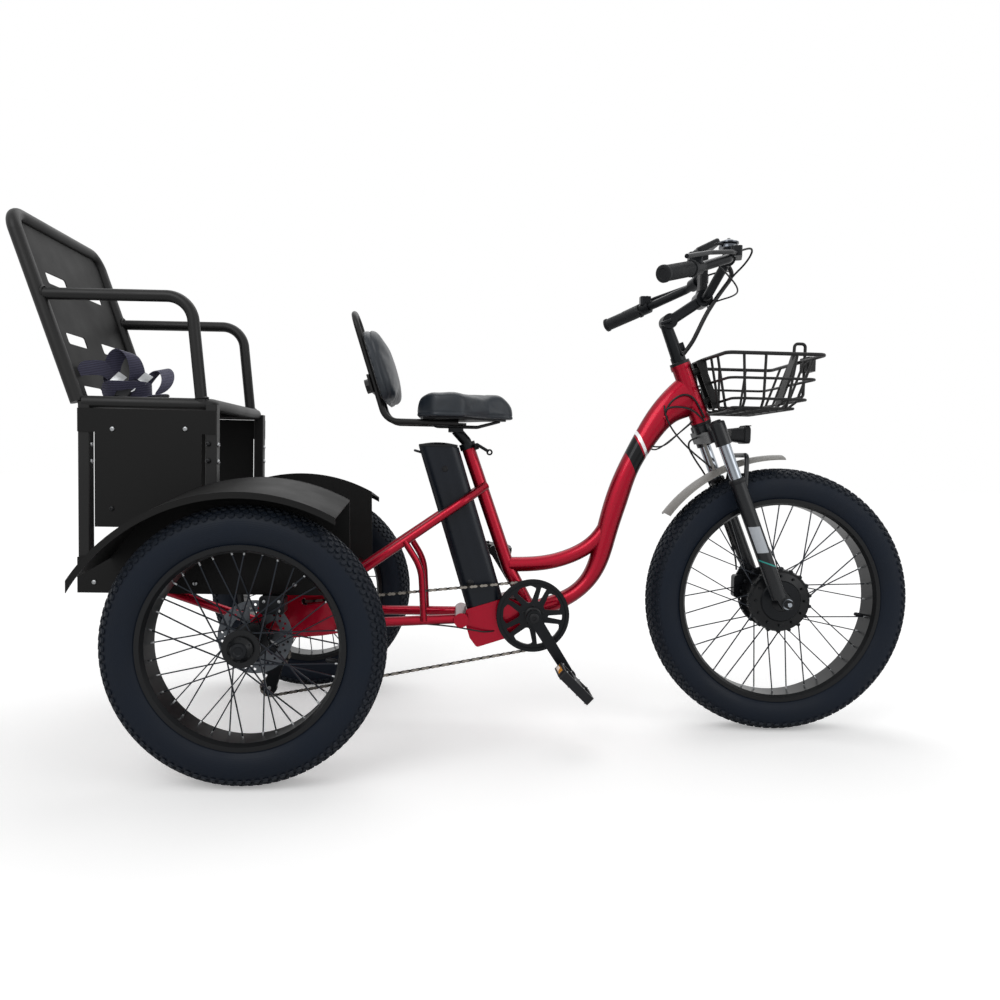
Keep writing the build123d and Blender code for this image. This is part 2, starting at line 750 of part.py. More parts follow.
with BuildPart() as saddle_rails:
    with BuildSketch(Plane.XY.offset(shell_bottom)) as shell:
        with BuildLine():
            half = saddle_half_width - 18
            FilletPolyline(
                *[at(saddle_rear + x, y, 0) for x, y in (
                    (14, -60), (50, -half), (108, -half), (170, -38), (222, -16), (222, 16), (170, 38),
                    (108, half), (50, half), (14, 60)
                )], radius=14, close=True
            )
        make_face()
    extrude(amount=shell_thickness)
    for side in (-1, 1):
        tube(
            [at(saddle_rear + 20, side * 34, shell_bottom - 0.5), at(saddle_rear + 46, side * 22, rail_height),
             at(saddle_rear + 150, side * 22, rail_height), at(saddle_rear + 206, side * 9, shell_bottom - 0.5)],
            rail_wire, 18,
        )
save(saddle_rails, "saddle_rails")

with BuildPart() as saddle:
    with BuildSketch(Plane.XY.offset(saddle_bottom + running_gap)):
        with BuildLine():
            FilletPolyline(
                *[at(saddle_rear + x, y, 0) for x, y in (
                    (0, -74), (42, -saddle_half_width), (112, -saddle_half_width), (176, -47), (239, -22), (239, 22),
                    (176, 47), (112, saddle_half_width), (42, saddle_half_width), (0, 74)
                )], radius=20, close=True
            )
        make_face()
    extrude(amount=saddle_depth + 10)
    with BuildSketch(side_plane(saddle_half_width + 20)):
        with BuildLine():
            top_line = FilletPolyline(
                *[(saddle_rear + x, saddle_top + z) for x, z in (
                    (-4, -36), (22, -8), (90, 2), (148, -11), (195, 2), (243, -30)
                )], radius=40
            )
            Polyline(
                top_line @ 1, (saddle_rear + 243, saddle_bottom - 5), (saddle_rear - 4, saddle_bottom - 5),
                top_line @ 0
            )
        make_face()
    extrude(amount=2 * saddle_half_width + 40, mode=Mode.INTERSECT)
    rounded = saddle.edges().filter_by(lambda edge: edge.center().Z > saddle_top - 45)
    fillet(rounded.filter_by(lambda edge: abs(edge.center().Y) > 3 or edge.length > 30), 9)
save(saddle, "saddle")

loop_foot = (430, shell_bottom - back_loop_diameter / 2 - running_gap)
loop_heel = at(252, 0, loop_foot[1])
loop_head = at(168, 0, back_loop_height)
with BuildPart() as backrest_frame:
    loop = []
    for side in (-1, 1):
        aside = Vector(0, side * back_loop_half, 0)
        leg = [at(loop_foot[0], 0, loop_foot[1]) + aside, loop_heel + aside, loop_head + aside]
        loop += leg if side < 0 else leg[::-1]
    tube(loop, back_loop_diameter, 42)
    with BuildSketch(Plane.XY.offset(rail_height + rail_wire / 2 + running_gap)):
        with Locations((post_head.X, 0)):
            RectangleRounded(52, 2 * back_loop_half + 10, 6)
    extrude(amount=4)
save(backrest_frame, "backrest_frame")

pad_up = (loop_head - loop_heel).normalized()
pad_ahead = Vector(pad_up.Z, 0, -pad_up.X)
loop_mid = (loop_head + loop_heel) * 0.5
with BuildPart() as backrest_pad:
    pad_start = loop_mid + pad_ahead * (back_loop_diameter / 2 + 5) - pad_up * 11
    with BuildSketch(Plane(origin=pad_start, x_dir=(0, 1, 0), z_dir=pad_ahead)):
        RectangleRounded(pad_width, pad_length, 60)
    extrude(amount=pad_thickness)
    fillet(backrest_pad.faces().sort_by(Axis((0, 0, 0), tuple(pad_ahead)))[-1].edges(), 16)
save(backrest_pad, "backrest_pad")

with BuildPart() as backrest_bracket:
    bracket_origin = loop_mid - pad_up * 40
    behind = -back_loop_diameter / 2 - running_gap
    for ahead, depth in ((-behind, 4.4), (behind - 5, 5)):
        with BuildSketch(Plane(origin=bracket_origin + pad_ahead * ahead, x_dir=(0, 1, 0), z_dir=pad_ahead)):
            RectangleRounded(116, 46, 6)
        extrude(amount=depth)
    origin = bracket_origin + pad_ahead * (behind - 5)
    with BuildSketch(Plane(origin=origin, x_dir=(0, 1, 0), z_dir=pad_ahead)):
        Circle(12)
    extrude(amount=back_loop_diameter + 6)
    with BuildSketch(Plane(origin=origin, x_dir=(0, 1, 0), z_dir=-pad_ahead)):
        RegularPolygon(18, 8)
    extrude(amount=14)
save(backrest_bracket, "backrest_bracket")

# ---------------------------------------------------------------- passenger bench
back_rise = Vector(back_head[0] - back_foot[0], 0, back_head[1] - back_foot[1])
back_up = back_rise.normalized()
back_ahead = Vector(back_up.Z, 0, -back_up.X)
with BuildPart() as bench_frame:
    arm_foot_x = back_foot[0] + back_rise.X * (arm_height - back_foot[1]) / back_rise.Z
    back_route = [
        at(back_foot[0] + 8, -bench_half, seat_rail_height), at(back_head[0], -bench_half, back_head[1]),
        at(back_head[0], bench_half, back_head[1]), at(back_foot[0] + 8, bench_half, seat_rail_height),
    ]
    tube(back_route, back_tube, 42)
    for side in (-1, 1):
        tube(
            [at(arm_foot_x, side * bench_half, arm_height - 3), at(arm_post_top, side * bench_half, arm_height),
             at(arm_post_foot, side * bench_half, seat_rail_height)],
            arm_tube, 58,
        )
    rail_rear = rear_leg_x - 4
    rail_front = seat_rail_front
    tube([at(rail_rear, -bench_half, seat_rail_height), at(rail_front, -bench_half, seat_rail_height),
          at(rail_front, bench_half, seat_rail_height), at(rail_rear, bench_half, seat_rail_height)],
         bench_tube, 22)
    tube([at(rail_rear, -bench_half, seat_rail_height), at(rail_rear, bench_half, seat_rail_height)], bench_tube)
save(bench_frame, "bench_frame")

rail_bottom = seat_rail_height - bench_tube / 2
with BuildPart() as bench_legs:
    for x, foot in ((rear_leg_x, rear_leg_foot), (front_leg_x, front_leg_foot)):
        for side in (-1, 1):
            with BuildSketch(Plane.XY.offset(foot)):
                with Locations((rear_axle_x + x, side * leg_half)):
                    RectangleRounded(leg_size, leg_size, 3)
            extrude(amount=seat_rail_height - foot)
    add(bench_frame.part, mode=Mode.SUBTRACT)
save(bench_legs, "bench_legs")

apron_bottom = rail_bottom - apron_depth
sheet_bottom = rail_bottom - side_sheet_depth
with BuildPart() as bench_side_panels:
    for side in (-1, 1):
        near = -leg_half - leg_size / 2 if side < 0 else leg_half + leg_size / 2 + sheet_thickness
        with BuildSketch(side_plane(near)):
            with BuildLine():
                Polyline(
                    (rear_leg_x - 12, rail_bottom), (front_leg_x + 12, rail_bottom),
                    (front_leg_x + 12, apron_bottom), (side_sheet_front, apron_bottom),
                    (side_sheet_front, sheet_bottom), (side_sheet_rear, sheet_bottom),
                    (side_sheet_rear, apron_bottom), (rear_leg_x - 12, apron_bottom), close=True
                )
            make_face()
        extrude(amount=sheet_thickness)
save(bench_side_panels, "bench_side_panels")

pan_rear = rail_rear + bench_tube / 2 + running_gap
pan_front = rail_front - bench_tube / 2 - running_gap
pan_half = bench_half - bench_tube / 2 - running_gap
pan_top = seat_rail_height + 8
with BuildPart() as bench_seat_pan:
    pan_centre = rear_axle_x + (pan_rear + pan_front) / 2
    with BuildSketch(Plane.XY.offset(pan_top - pan_depth)):
        with Locations((pan_centre, 0)):
            RectangleRounded(pan_front - pan_rear, 2 * pan_half, 12)
    extrude(amount=pan_depth)
    with BuildSketch(Plane.XY.offset(pan_top - pan_depth)):
        with Locations((pan_centre, 0)):
            RectangleRounded(pan_front - pan_rear - 2 * pan_thickness, 2 * pan_half - 2 * pan_thickness, 10)
    extrude(amount=pan_depth - pan_thickness, mode=Mode.SUBTRACT)
    with BuildSketch(Plane.XY.offset(pan_top)):
        with Locations((pan_centre, 0)):
            with GridLocations(pan_hole_spacing_x, pan_hole_spacing_y, 2, 2):
                Circle(pan_hole_radius)
    extrude(amount=-pan_thickness, mode=Mode.SUBTRACT)
save(bench_seat_pan, "bench_seat_pan")

with BuildPart() as bench_back_panel:
    panel_start = 2
    panel_end = back_rise.length - back_tube / 2 - running_gap
    slope_start = at(back_foot[0], 0, back_foot[1])
    middle = slope_start + back_up * ((panel_start + panel_end) / 2)
    with BuildSketch(Plane(origin=middle - back_ahead * 1.5, x_dir=(0, 1, 0), z_dir=back_ahead)):
        RectangleRounded(2 * (bench_half - back_tube / 2 - running_gap), panel_end - panel_start, 32)
        for row in slot_rows:
            # the sketch's vertical axis runs down the slope
            place = (panel_start + panel_end) / 2 - row
            with Locations((-slot_offset, place), (slot_offset, place)):
                RectangleRounded(slot_width, slot_height, 6, mode=Mode.SUBTRACT)
    extrude(amount=pan_thickness)
save(bench_back_panel, "bench_back_panel")

with BuildPart() as seat_belt:
    with BuildSketch(Plane.XY.offset(pan_top + running_gap)):
        with Locations((rear_axle_x - 317, -38)):
            RectangleRounded(126, 130, 40)
    extrude(amount=60, taper=22)
save(seat_belt, "seat_belt")


# ---------------------------------------------------------------- fenders
def arch(centre_z, outer_radius, depth):
    """Band following the wheel between the fender's two ends, on the current plane."""
    def height(radius, x):
        return centre_z + sqrt(radius * radius - x * x)

    inner_radius = outer_radius - depth
    with BuildLine() as outline:
        upper = ThreePointArc(
            (fender_rear, height(outer_radius, fender_rear)), (0, centre_z + outer_radius),
            (fender_front, height(outer_radius, fender_front))
        )
        lower = ThreePointArc(
            (fender_rear, height(inner_radius, fender_rear)), (0, centre_z + inner_radius),
            (fender_front, height(inner_radius, fender_front))
        )
        Line(upper @ 0, lower @ 0)
        Line(upper @ 1, lower @ 1)
    make_face(outline.edges())


outer_centre = 212
inner_centre = outer_centre + fender_rise
panel_outer = panel_inner + fender_thickness
with BuildPart() as fender_right:
    with BuildSketch(side_plane(-panel_inner)) as inner_arch:
        arch(inner_centre, fender_radius, fender_thickness)
    with BuildSketch(side_plane(-fender_outer)) as outer_arch:
        arch(outer_centre, fender_radius, fender_thickness)
    loft()
    with BuildSketch(side_plane(-fender_outer + fender_thickness)):
        arch(outer_centre, fender_radius, 13)
    extrude(amount=fender_thickness)
    with BuildSketch(side_plane(-panel_inner)):
        with BuildLine():
            rear_top = inner_centre + sqrt(fender_radius**2 - fender_rear**2)
            front_top = inner_centre + sqrt(fender_radius**2 - fender_front**2)
            top = ThreePointArc(
                (fender_rear, rear_top), (0, inner_centre + fender_radius), (fender_front, front_top)
            )
            Polyline(
                top @ 1, (fender_front + 4, panel_bottom), (rear_leg_x - 12, panel_bottom),
                (rear_leg_x - 12, rear_top - 4), top @ 0
            )
        make_face()
    extrude(amount=fender_thickness)
save(fender_right, "fender_right")
with BuildPart() as fender_left:
    mirror(fender_right.part, about=Plane.XZ)
save(fender_left, "fender_left")

# ---------------------------------------------------------------- fork
with BuildPart() as fork_crown:
    with BuildSketch(steer_plane(6, 0, crown_bottom + 14)):
        RectangleRounded(44, leg_spacing + 24, 20)
    extrude(amount=30)
    with BuildSketch(steer_plane(0, 0, crown_bottom + 40)):
        Circle(head_tube_diameter / 2)
    extrude(amount=crown_top - crown_bottom - 40)
    with BuildSketch(steer_plane(0, 0, crown_top)):
        Circle(steerer_diameter / 2)
    extrude(amount=head_tube_length + 12)
    for side in (-1, 1):
        with BuildSketch(steer_plane(leg_lead, side * leg_spacing / 2, crown_bottom)):
            Circle(cap_diameter / 2)
        extrude(amount=56)
save(fork_crown, "fork_crown")

with BuildPart() as fork_stanchions:
    for side in (-1, 1):
        with BuildSketch(steer_plane(leg_lead, side * leg_spacing / 2, lower_top)):
            Circle(stanchion_diameter / 2)
        extrude(amount=crown_bottom - lower_top)
save(fork_stanchions, "fork_stanchions")

with BuildPart() as fork_lowers:
    for side in (-1, 1):
        with BuildSketch(steer_plane(leg_lead, side * leg_spacing / 2, 22)):
            Circle(lower_diameter / 2)
        extrude(amount=lower_top - 22)
        leg_y = side * leg_spacing / 2
        tab_near = leg_y + 6
        with BuildSketch(side_plane(tab_near)):
            with BuildLine():
                low = steer(leg_lead - 13, 0, 50) - at(0, 0, 0)
                high = steer(leg_lead + 13, 0, 50) - at(0, 0, 0)
                Polyline(
                    (low.X, low.Z), (high.X, high.Z), (wheelbase + 16, front_tyre_radius + 6),
                    (wheelbase + 12, front_tyre_radius - 14), (wheelbase - 12, front_tyre_radius - 14), close=True
                )
            make_face()
        extrude(amount=12)
    with BuildLine() as arch_path:
        ends = [steer(leg_lead + 10, side * (leg_spacing / 2 - 4), lower_top - 40) for side in (-1, 1)]
        knees = [steer(66, side * (leg_spacing / 2 - 24), 384) for side in (-1, 1)]
        FilletPolyline(ends[0], knees[0], knees[1], ends[1], radius=18)
    with BuildSketch(Plane(origin=arch_path.line @ 0, z_dir=arch_path.line % 0)):
        Circle(6)
    sweep(path=arch_path.line)
    half = leg_spacing / 2 + 30
    cross_cylinder(wheelbase, front_tyre_radius, half, -half, 2 * front_axle_radius, Mode.SUBTRACT)
save(fork_lowers, "fork_lowers")

with BuildPart() as front_axle:
    half = leg_spacing / 2 + 6
    cross_cylinder(wheelbase, front_tyre_radius, half + 14, -half - 14, 2 * front_axle_radius - 0.1)
    cross_cylinder(wheelbase, front_tyre_radius, half + 12, half + 0.3, 22)
    cross_cylinder(wheelbase, front_tyre_radius, -half - 0.3, -half - 12, 22)
save(front_axle, "front_axle")

# ---------------------------------------------------------------- stem and handlebar
clamp = steer(109, 0, 790.5)
bar_diameter = 22.2
stem_base = head_tube_bottom + head_tube_length
joint = steer(8, 0, stem_joint_height)


def cockpit(ahead, side, above):
    """Point given from the middle of the handlebar clamp."""
    return clamp + Vector(ahead, side, above)


def cross_boss(centre, y_from, y_to, diameter, mode=Mode.ADD):
    """Cylinder across the vehicle about a point."""
    cross_cylinder(centre.X - rear_axle_x, centre.Z, y_from, y_to, diameter, mode)


with BuildPart() as stem:
    with BuildSketch(steer_plane(0, 0, stem_base + 8)):
        Circle(19)
    extrude(amount=14)
    with BuildSketch(steer_plane(0, 0, stem_base + 22)):
        Circle(17)
    extrude(amount=stem_joint_height - stem_base - 26, taper=1.6)
    with BuildSketch(steer_plane(17, 0, stem_base + 30)):
        RectangleRounded(16, 18, 3)
    extrude(amount=22)
    cross_boss(joint, 22, -22, 38)
    cross_boss(joint, 26, -28, 16)
    tube([joint + Vector(0, -29, 0), joint + Vector(-27, -31, -10)], 9)
    reach = clamp - joint
    with BuildSketch(Plane(origin=joint, x_dir=(0, 1, 0), z_dir=reach)):
        RectangleRounded(38, 27, 8)
    extrude(amount=reach.length - 4)
    cross_boss(clamp, 24, -24, 42)
    cross_boss(clamp, 26, -26, bar_diameter + 2 * running_gap, Mode.SUBTRACT)
save(stem, "stem")

half_bar = [(0, 44, 0), (34, 88, 80), (8, 172, 62), (-66, 220, 30), (-180, 325, -14)]
bar_points = [cockpit(x, -y, z) for x, y, z in half_bar[::-1]] + [cockpit(*place) for place in half_bar]
with BuildPart() as handlebar:
    tube(bar_points, bar_diameter, 26)
save(handlebar, "handlebar")

with BuildPart() as grips:
    for side in (-1, 1):
        tip = cockpit(half_bar[4][0], side * half_bar[4][1], half_bar[4][2])
        elbow = cockpit(half_bar[3][0], side * half_bar[3][1], half_bar[3][2])
        direction = (elbow - tip).normalized()
        for start, length, radius in ((-5, 117, 16.5), (-5, 5, 19), (106, 6, 19)):
            with BuildSketch(Plane(origin=tip + direction * start, z_dir=direction)):
                Circle(radius)
            extrude(amount=length)
        with BuildSketch(Plane(origin=tip, z_dir=direction)):
            Circle(bar_diameter / 2 + running_gap)
        extrude(amount=160, mode=Mode.SUBTRACT)
save(grips, "grips")

with BuildPart() as brake_levers:
    for side in (-1, 1):
        perch = cockpit(20, side * 133, 70.4)
        along = Vector(-26, side * 84, -18).normalized()
        with BuildSketch(Plane(origin=perch - along * 15, z_dir=along)):
            Circle(17)
        extrude(amount=30)
        body = cockpit(36, side * 143, 84)
        with BuildSketch(Plane(origin=body - Vector(0, 0, 13), x_dir=(along.X, along.Y, 0), z_dir=(0, 0, 1))):
            RectangleRounded(50, 26, 7)
        extrude(amount=24)
        tube(
            [cockpit(34, side * 158, 80), cockpit(8, side * 192, 72), cockpit(-62, side * 256, 52),
             cockpit(-136, side * 334, 22)],
            10, 40,
        )
        # thumb control between the lever and the grip
        elbow = cockpit(half_bar[3][0], side * half_bar[3][1], half_bar[3][2])
        tip = cockpit(half_bar[4][0], side * half_bar[4][1], half_bar[4][2])
        outward = (tip - elbow).normalized()
        with BuildSketch(Plane(origin=elbow + outward * 20, z_dir=outward)):
            Circle(17)
        extrude(amount=26)
        with BuildSketch(Plane(origin=elbow + outward * 33 + Vector(-2, 0, 8), z_dir=(0, 0, 1))):
            RectangleRounded(30, 28, 6)
        extrude(amount=24)
    tube(bar_points, bar_diameter + 2 * running_gap, 26, Mode.SUBTRACT)
save(brake_levers, "brake_levers")

with BuildPart() as display:
    post_start = cockpit(0, 0, 21 + running_gap)
    with BuildSketch(Plane(origin=post_start)):
        RectangleRounded(20, 28, 4)
    extrude(amount=100)
    with BuildSketch(Plane(origin=cockpit(6, 0, 120), x_dir=(0, 1, 0), z_dir=(-0.45, 0, 0.89))):
        RectangleRounded(84, 60, 8)
    extrude(amount=16)
    chamfer(display.faces().sort_by(Axis((0, 0, 0), (-0.45, 0, 0.89)))[-1].edges(), 3)
save(display, "display")

with BuildPart() as bell:
    bell_foot = cockpit(30, -102, 77)
    along = Vector(-26, -84, -18).normalized()
    with BuildSketch(Plane(origin=bell_foot, z_dir=along)):
        Circle(15)
    extrude(amount=-10)
    with BuildSketch(Plane(origin=bell_foot + along * -5)):
        Circle(6)
    extrude(amount=48)
    with Locations(Plane(origin=bell_foot + along * -5 + Vector(0, 0, 38))):
        Sphere(23, arc_size1=0)
        Cylinder(24.5, 3, align=(Align.CENTER, Align.CENTER, Align.MIN))
    tube(bar_points, bar_diameter + 2 * running_gap, 26, Mode.SUBTRACT)
save(bell, "bell")

with BuildPart() as headlamp:
    lamp = steer(78.5, 0, 435)
    with BuildSketch(Plane(origin=lamp - Vector(24, 0, 0), x_dir=(0, 1, 0), z_dir=(1, 0, 0))):
        RectangleRounded(44, 32, 8)
    extrude(amount=38, taper=-7)
    with BuildSketch(Plane(origin=lamp + Vector(10, 0, 0), x_dir=(0, 1, 0), z_dir=(1, 0, 0))):
        RectangleRounded(58, 44, 12)
        RectangleRounded(50, 36, 9, mode=Mode.SUBTRACT)
    extrude(amount=14)
    tube([steer(10, 0, crown_bottom + 24), lamp + Vector(0, 0, -10)], 10)
    add(fork_crown.part, mode=Mode.SUBTRACT)
save(headlamp, "headlamp")

# ---------------------------------------------------------------- front mudguard and calipers
guard_arc = 374
with BuildPart() as front_fender:
    with BuildSketch(Plane(origin=front_centre, x_dir=(0, 1, 0), z_dir=(1, 0, 0))):
        with BuildLine():
            upper = ThreePointArc((-38, guard_arc - 10), (0, guard_arc), (38, guard_arc - 10))
            lower = ThreePointArc((-38, guard_arc - 12.5), (0, guard_arc - 2.5), (38, guard_arc - 12.5))
            Line(upper @ 0, lower @ 0)
            Line(upper @ 1, lower @ 1)
        make_face()
    revolve(axis=Axis(tuple(front_centre), (0, -1, 0)), revolution_arc=54)
    tube([steer(-10, 0, crown_bottom + 24), steer(-10, 0, crown_bottom - 62)], 8)
    add(fork_crown.part, mode=Mode.SUBTRACT)
save(front_fender, "front_fender")

with BuildPart() as front_caliper:
    with BuildSketch(side_plane(front_rotor_offset + 14)):
        with Locations((wheelbase - 78, front_tyre_radius + 24)):
            RectangleRounded(34, 60, 8)
    extrude(amount=24)
    arm_low = steer(4, 0, 66) - at(0, 0, 0)
    arm_high = steer(4, 0, 112) - at(0, 0, 0)
    with BuildSketch(side_plane(front_rotor_offset + 14)):
        with BuildLine():
            Polyline(
                (arm_low.X, arm_low.Z), (arm_high.X, arm_high.Z), (wheelbase - 84, front_tyre_radius + 52),
                (wheelbase - 66, front_tyre_radius + 4), close=True
            )
        make_face()
    extrude(amount=6)
    with BuildSketch(side_plane(front_rotor_offset + rotor_thickness + 1.5)):
        with Locations((wheelbase, front_tyre_radius)):
            Circle(rotor_radius + 4)
    extrude(amount=rotor_thickness + 3, mode=Mode.SUBTRACT)
    add(fork_lowers.part, mode=Mode.SUBTRACT)
save(front_caliper, "front_caliper")

with BuildPart() as rear_calipers:
    for side in (-1, 1):
        rotor_side = -rear_rotor_y if side > 0 else rear_rotor_y - rotor_thickness
        near = max(rotor_side, rotor_side + rotor_thickness)
        with BuildSketch(side_plane(side * (track / 2 - rear_rotor_inset) + 16)):
            with Locations((38, rear_tyre_radius + 72)):
                RectangleRounded(54, 40, 8)
        extrude(amount=32)
    for y in (rear_rotor_y + 1.5, -rear_rotor_y + rotor_thickness + 1.5):
        with BuildSketch(side_plane(y)):
            with Locations((0, rear_tyre_radius)):
                Circle(rotor_radius + 4)
        extrude(amount=rotor_thickness + 3, mode=Mode.SUBTRACT)
save(rear_calipers, "rear_calipers")


# ---------------------------------------------------------------- basket
bracket_width = 42
basket_origin = steer(54, 0, head_tube_bottom + 150)


def in_basket(ahead, side, below):
    """Point given from the top of the basket's bracket."""
    return basket_origin + Vector(ahead, side, -below)


def basket_ring(rear, front, half_side, below, thickness, corner):
    """Closed wire round the basket, drawn in at the back to meet the bracket."""
    at_bracket = below * sin(tilt) / cos(tilt)
    outline = [in_basket(front, -half_side, below), in_basket(rear, -half_side, below)]
    if abs(at_bracket - rear) > 9:
        outline += [in_basket(at_bracket, -bracket_width / 2, below), in_basket(at_bracket, bracket_width / 2, below)]
    outline += [in_basket(rear, half_side, below), in_basket(front, half_side, below)]
    with BuildLine() as ring:
        FilletPolyline(*outline, radius=corner, close=True)
    with BuildSketch(Plane(origin=ring.line @ 0, z_dir=ring.line % 0)) as section:
        Circle(thickness / 2)
    sweep(section.sketch, path=ring.line)


with BuildPart() as basket:
    basket_front = basket_rear + basket_length
    basket_ring(basket_rear, basket_front, basket_half, 3, rim_wire, 18)
    basket_ring(basket_rear + 9, basket_front - 20, basket_half - 2, 61, wire, 18)
    basket_ring(basket_rear + 19, basket_front - 38, basket_half - 6, 109, wire, 18)
    basket_ring(basket_floor_rear, basket_floor_front, basket_floor_half, basket_depth, wire, 9)
    for y in (-100, -50, 0, 50, 100):
        tube(
            [in_basket(basket_rear, y, 3), in_basket(basket_floor_rear, y, basket_depth),
             in_basket(basket_floor_front, y, basket_depth), in_basket(basket_front - 38, y, 109),
             in_basket(basket_front, y, 3)],
            wire, 9,
        )
    for top_x, low_x in ((52, 60), (105, 105), (180, 165)):
        ring_half = basket_half - 6
        tube(
            [in_basket(top_x, -basket_half, 3), in_basket(low_x, -ring_half, 109),
             in_basket(low_x, -basket_floor_half, basket_depth), in_basket(low_x, basket_floor_half, basket_depth),
             in_basket(low_x, ring_half, 109), in_basket(top_x, basket_half, 3)],
            wire, 9,
        )
    # front hoop carrying the reflector, and its strip down the front of the basket
    tube(
        [in_basket(basket_front - 8, 0, 3), in_basket(basket_front - 6, 0, -47), in_basket(basket_front + 22, 0, -47),
         in_basket(basket_front + 21, 0, 88), in_basket(basket_front - 34, 0, 104)],
        8, 9,
    )
    with BuildSketch(Plane.XY.offset(basket_origin.Z - 25)):
        with Locations((basket_origin.X + basket_front + 30, 0)):
            RectangleRounded(22, 54, 5)
    extrude(amount=37)
    strip_top = in_basket(basket_front - 5, 0, -19)
    strip_foot = in_basket(basket_front - 43, 0, 109)
    strip_normal = Plane(origin=strip_foot, x_dir=(0, 1, 0), z_dir=strip_top - strip_foot)
    with BuildSketch(strip_normal):
        Rectangle(38, 4)
    extrude(amount=(strip_top - strip_foot).length)
    # channel bracket bolted to the head tube
    channel = Plane(origin=steer(36, 0, head_tube_bottom + 85), x_dir=(0, 1, 0), z_dir=axis_ahead)
    with BuildSketch(channel):
        Rectangle(bracket_width, 130)
    extrude(amount=18)
    with BuildSketch(channel):
        Rectangle(bracket_width - 8, 122)
    extrude(amount=14, mode=Mode.SUBTRACT)
    for up in (45, 125):
        with BuildSketch(Plane(origin=steer(0, 0, head_tube_bottom + up), x_dir=(0, 1, 0), z_dir=axis_ahead)):
            Circle(9)
        extrude(amount=52)
    with BuildSketch(steer_plane(0, 0, head_tube_bottom - 20)):
        Circle(head_tube_diameter / 2)
    extrude(amount=head_tube_length + 40, mode=Mode.SUBTRACT)
save(basket, "basket")

# ---------------------------------------------------------------- cables
with BuildPart() as steering_cables:
    tube(
        [cockpit(40, -38, 92), cockpit(62, -42, 34), cockpit(12, -38, -66), steer(56, -32, 710),
         steer(11, -19, 678)], 11, 36,
    )
    line_side = leg_spacing / 2
    behind_leg = leg_lead - lower_diameter / 2 - 2.5 - running_gap
    tube(
        [steer(-36, 34, 480), steer(-34, 58, 436), steer(behind_leg - 5, line_side, 372),
         steer(behind_leg, line_side, 318), steer(behind_leg, line_side, 120), steer(-26, line_side - 16, 92)], 5, 12,
    )
    add(stem.part, mode=Mode.SUBTRACT)
    add(front_caliper.part, mode=Mode.SUBTRACT)
save(steering_cables, "steering_cables")

with BuildPart() as frame_cables:
    cup_side = head_tube_diameter / 2 + 2.5 + 2.5 + 0.2
    tube([steer(-87, -22, 549), steer(-52, -32, 580), steer(3, -31, 568), steer(4, -cup_side, 508)], 5, 20)
    tube([steer(-89, -22, 541), steer(-80, -35, 568), steer(-34, -34, 552), steer(0, -cup_side, 502)], 5, 13)
    tube([steer(-160, -10, 500), steer(-122, -24, 476), steer(-24, -10, 510)], 4, 18)
    tube([steer(-160, 10, 500), steer(-128, 26, 470), steer(-24, 10, 505)], 4, 18)
    add(main_frame.part, mode=Mode.SUBTRACT)
save(frame_cables, "frame_cables")
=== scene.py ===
from itertools import product
from math import asin, atan2, ceil, cos, exp, hypot, pi, radians, sin

import bpy
from mathutils import Matrix, Vector


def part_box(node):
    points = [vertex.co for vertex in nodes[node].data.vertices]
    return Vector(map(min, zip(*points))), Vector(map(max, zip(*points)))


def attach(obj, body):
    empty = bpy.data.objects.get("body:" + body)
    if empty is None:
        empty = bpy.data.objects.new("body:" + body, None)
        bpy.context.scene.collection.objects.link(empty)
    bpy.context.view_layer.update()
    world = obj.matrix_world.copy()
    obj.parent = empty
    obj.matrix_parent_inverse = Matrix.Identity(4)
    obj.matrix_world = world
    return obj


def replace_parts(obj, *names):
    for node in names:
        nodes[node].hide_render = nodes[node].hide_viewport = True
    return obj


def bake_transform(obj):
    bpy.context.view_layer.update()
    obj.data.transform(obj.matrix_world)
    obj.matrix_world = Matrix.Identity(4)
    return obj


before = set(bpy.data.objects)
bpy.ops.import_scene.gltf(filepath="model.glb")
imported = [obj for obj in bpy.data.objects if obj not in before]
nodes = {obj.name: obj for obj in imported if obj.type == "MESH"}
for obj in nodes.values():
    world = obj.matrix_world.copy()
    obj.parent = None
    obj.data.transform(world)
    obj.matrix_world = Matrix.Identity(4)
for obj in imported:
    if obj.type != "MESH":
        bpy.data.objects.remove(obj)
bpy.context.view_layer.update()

scene = bpy.context.scene

# the tricycle's layout in millimetres, from the rear axle line and the ground
trike = {
    "rearAxleX": -515.5, "wheelbase": 1263, "halfTrack": 370, "frontRadius": 340, "rearRadius": 292,
    "frontFlange": 262, "rearFlange": 212, "rimDepth": 16, "forkLean": 22, "forkOffset": 26,
    "legLead": 12, "legSide": 78, "bottomBracket": (624, 301), "chainSide": 60, "packLean": 17.4,
    "barClamp": (109, 0, 790.5),
}
lean = radians(trike["forkLean"])
steerUp = Vector((-sin(lean), 0, cos(lean)))
steerAhead = Vector((cos(lean), 0, sin(lean)))
sideways = Vector((0, 1, 0))


def ahead(x, y, z):                    # from the rear axle line, the middle plane and the ground
    return Vector((trike["rearAxleX"] + x, y, z)) / 1000


def steer(forward, side, up):          # ahead of the steering axis, left, and up along it from hub level
    foot = ahead(trike["wheelbase"], 0, trike["frontRadius"]) - steerAhead * trike["forkOffset"] / 1000
    return foot + (steerAhead * forward + sideways * side + steerUp * up) / 1000


def cockpit(forward, side, above):     # from the middle of the handlebar clamp
    return steer(*trike["barClamp"]) + Vector((forward, side, above)) / 1000


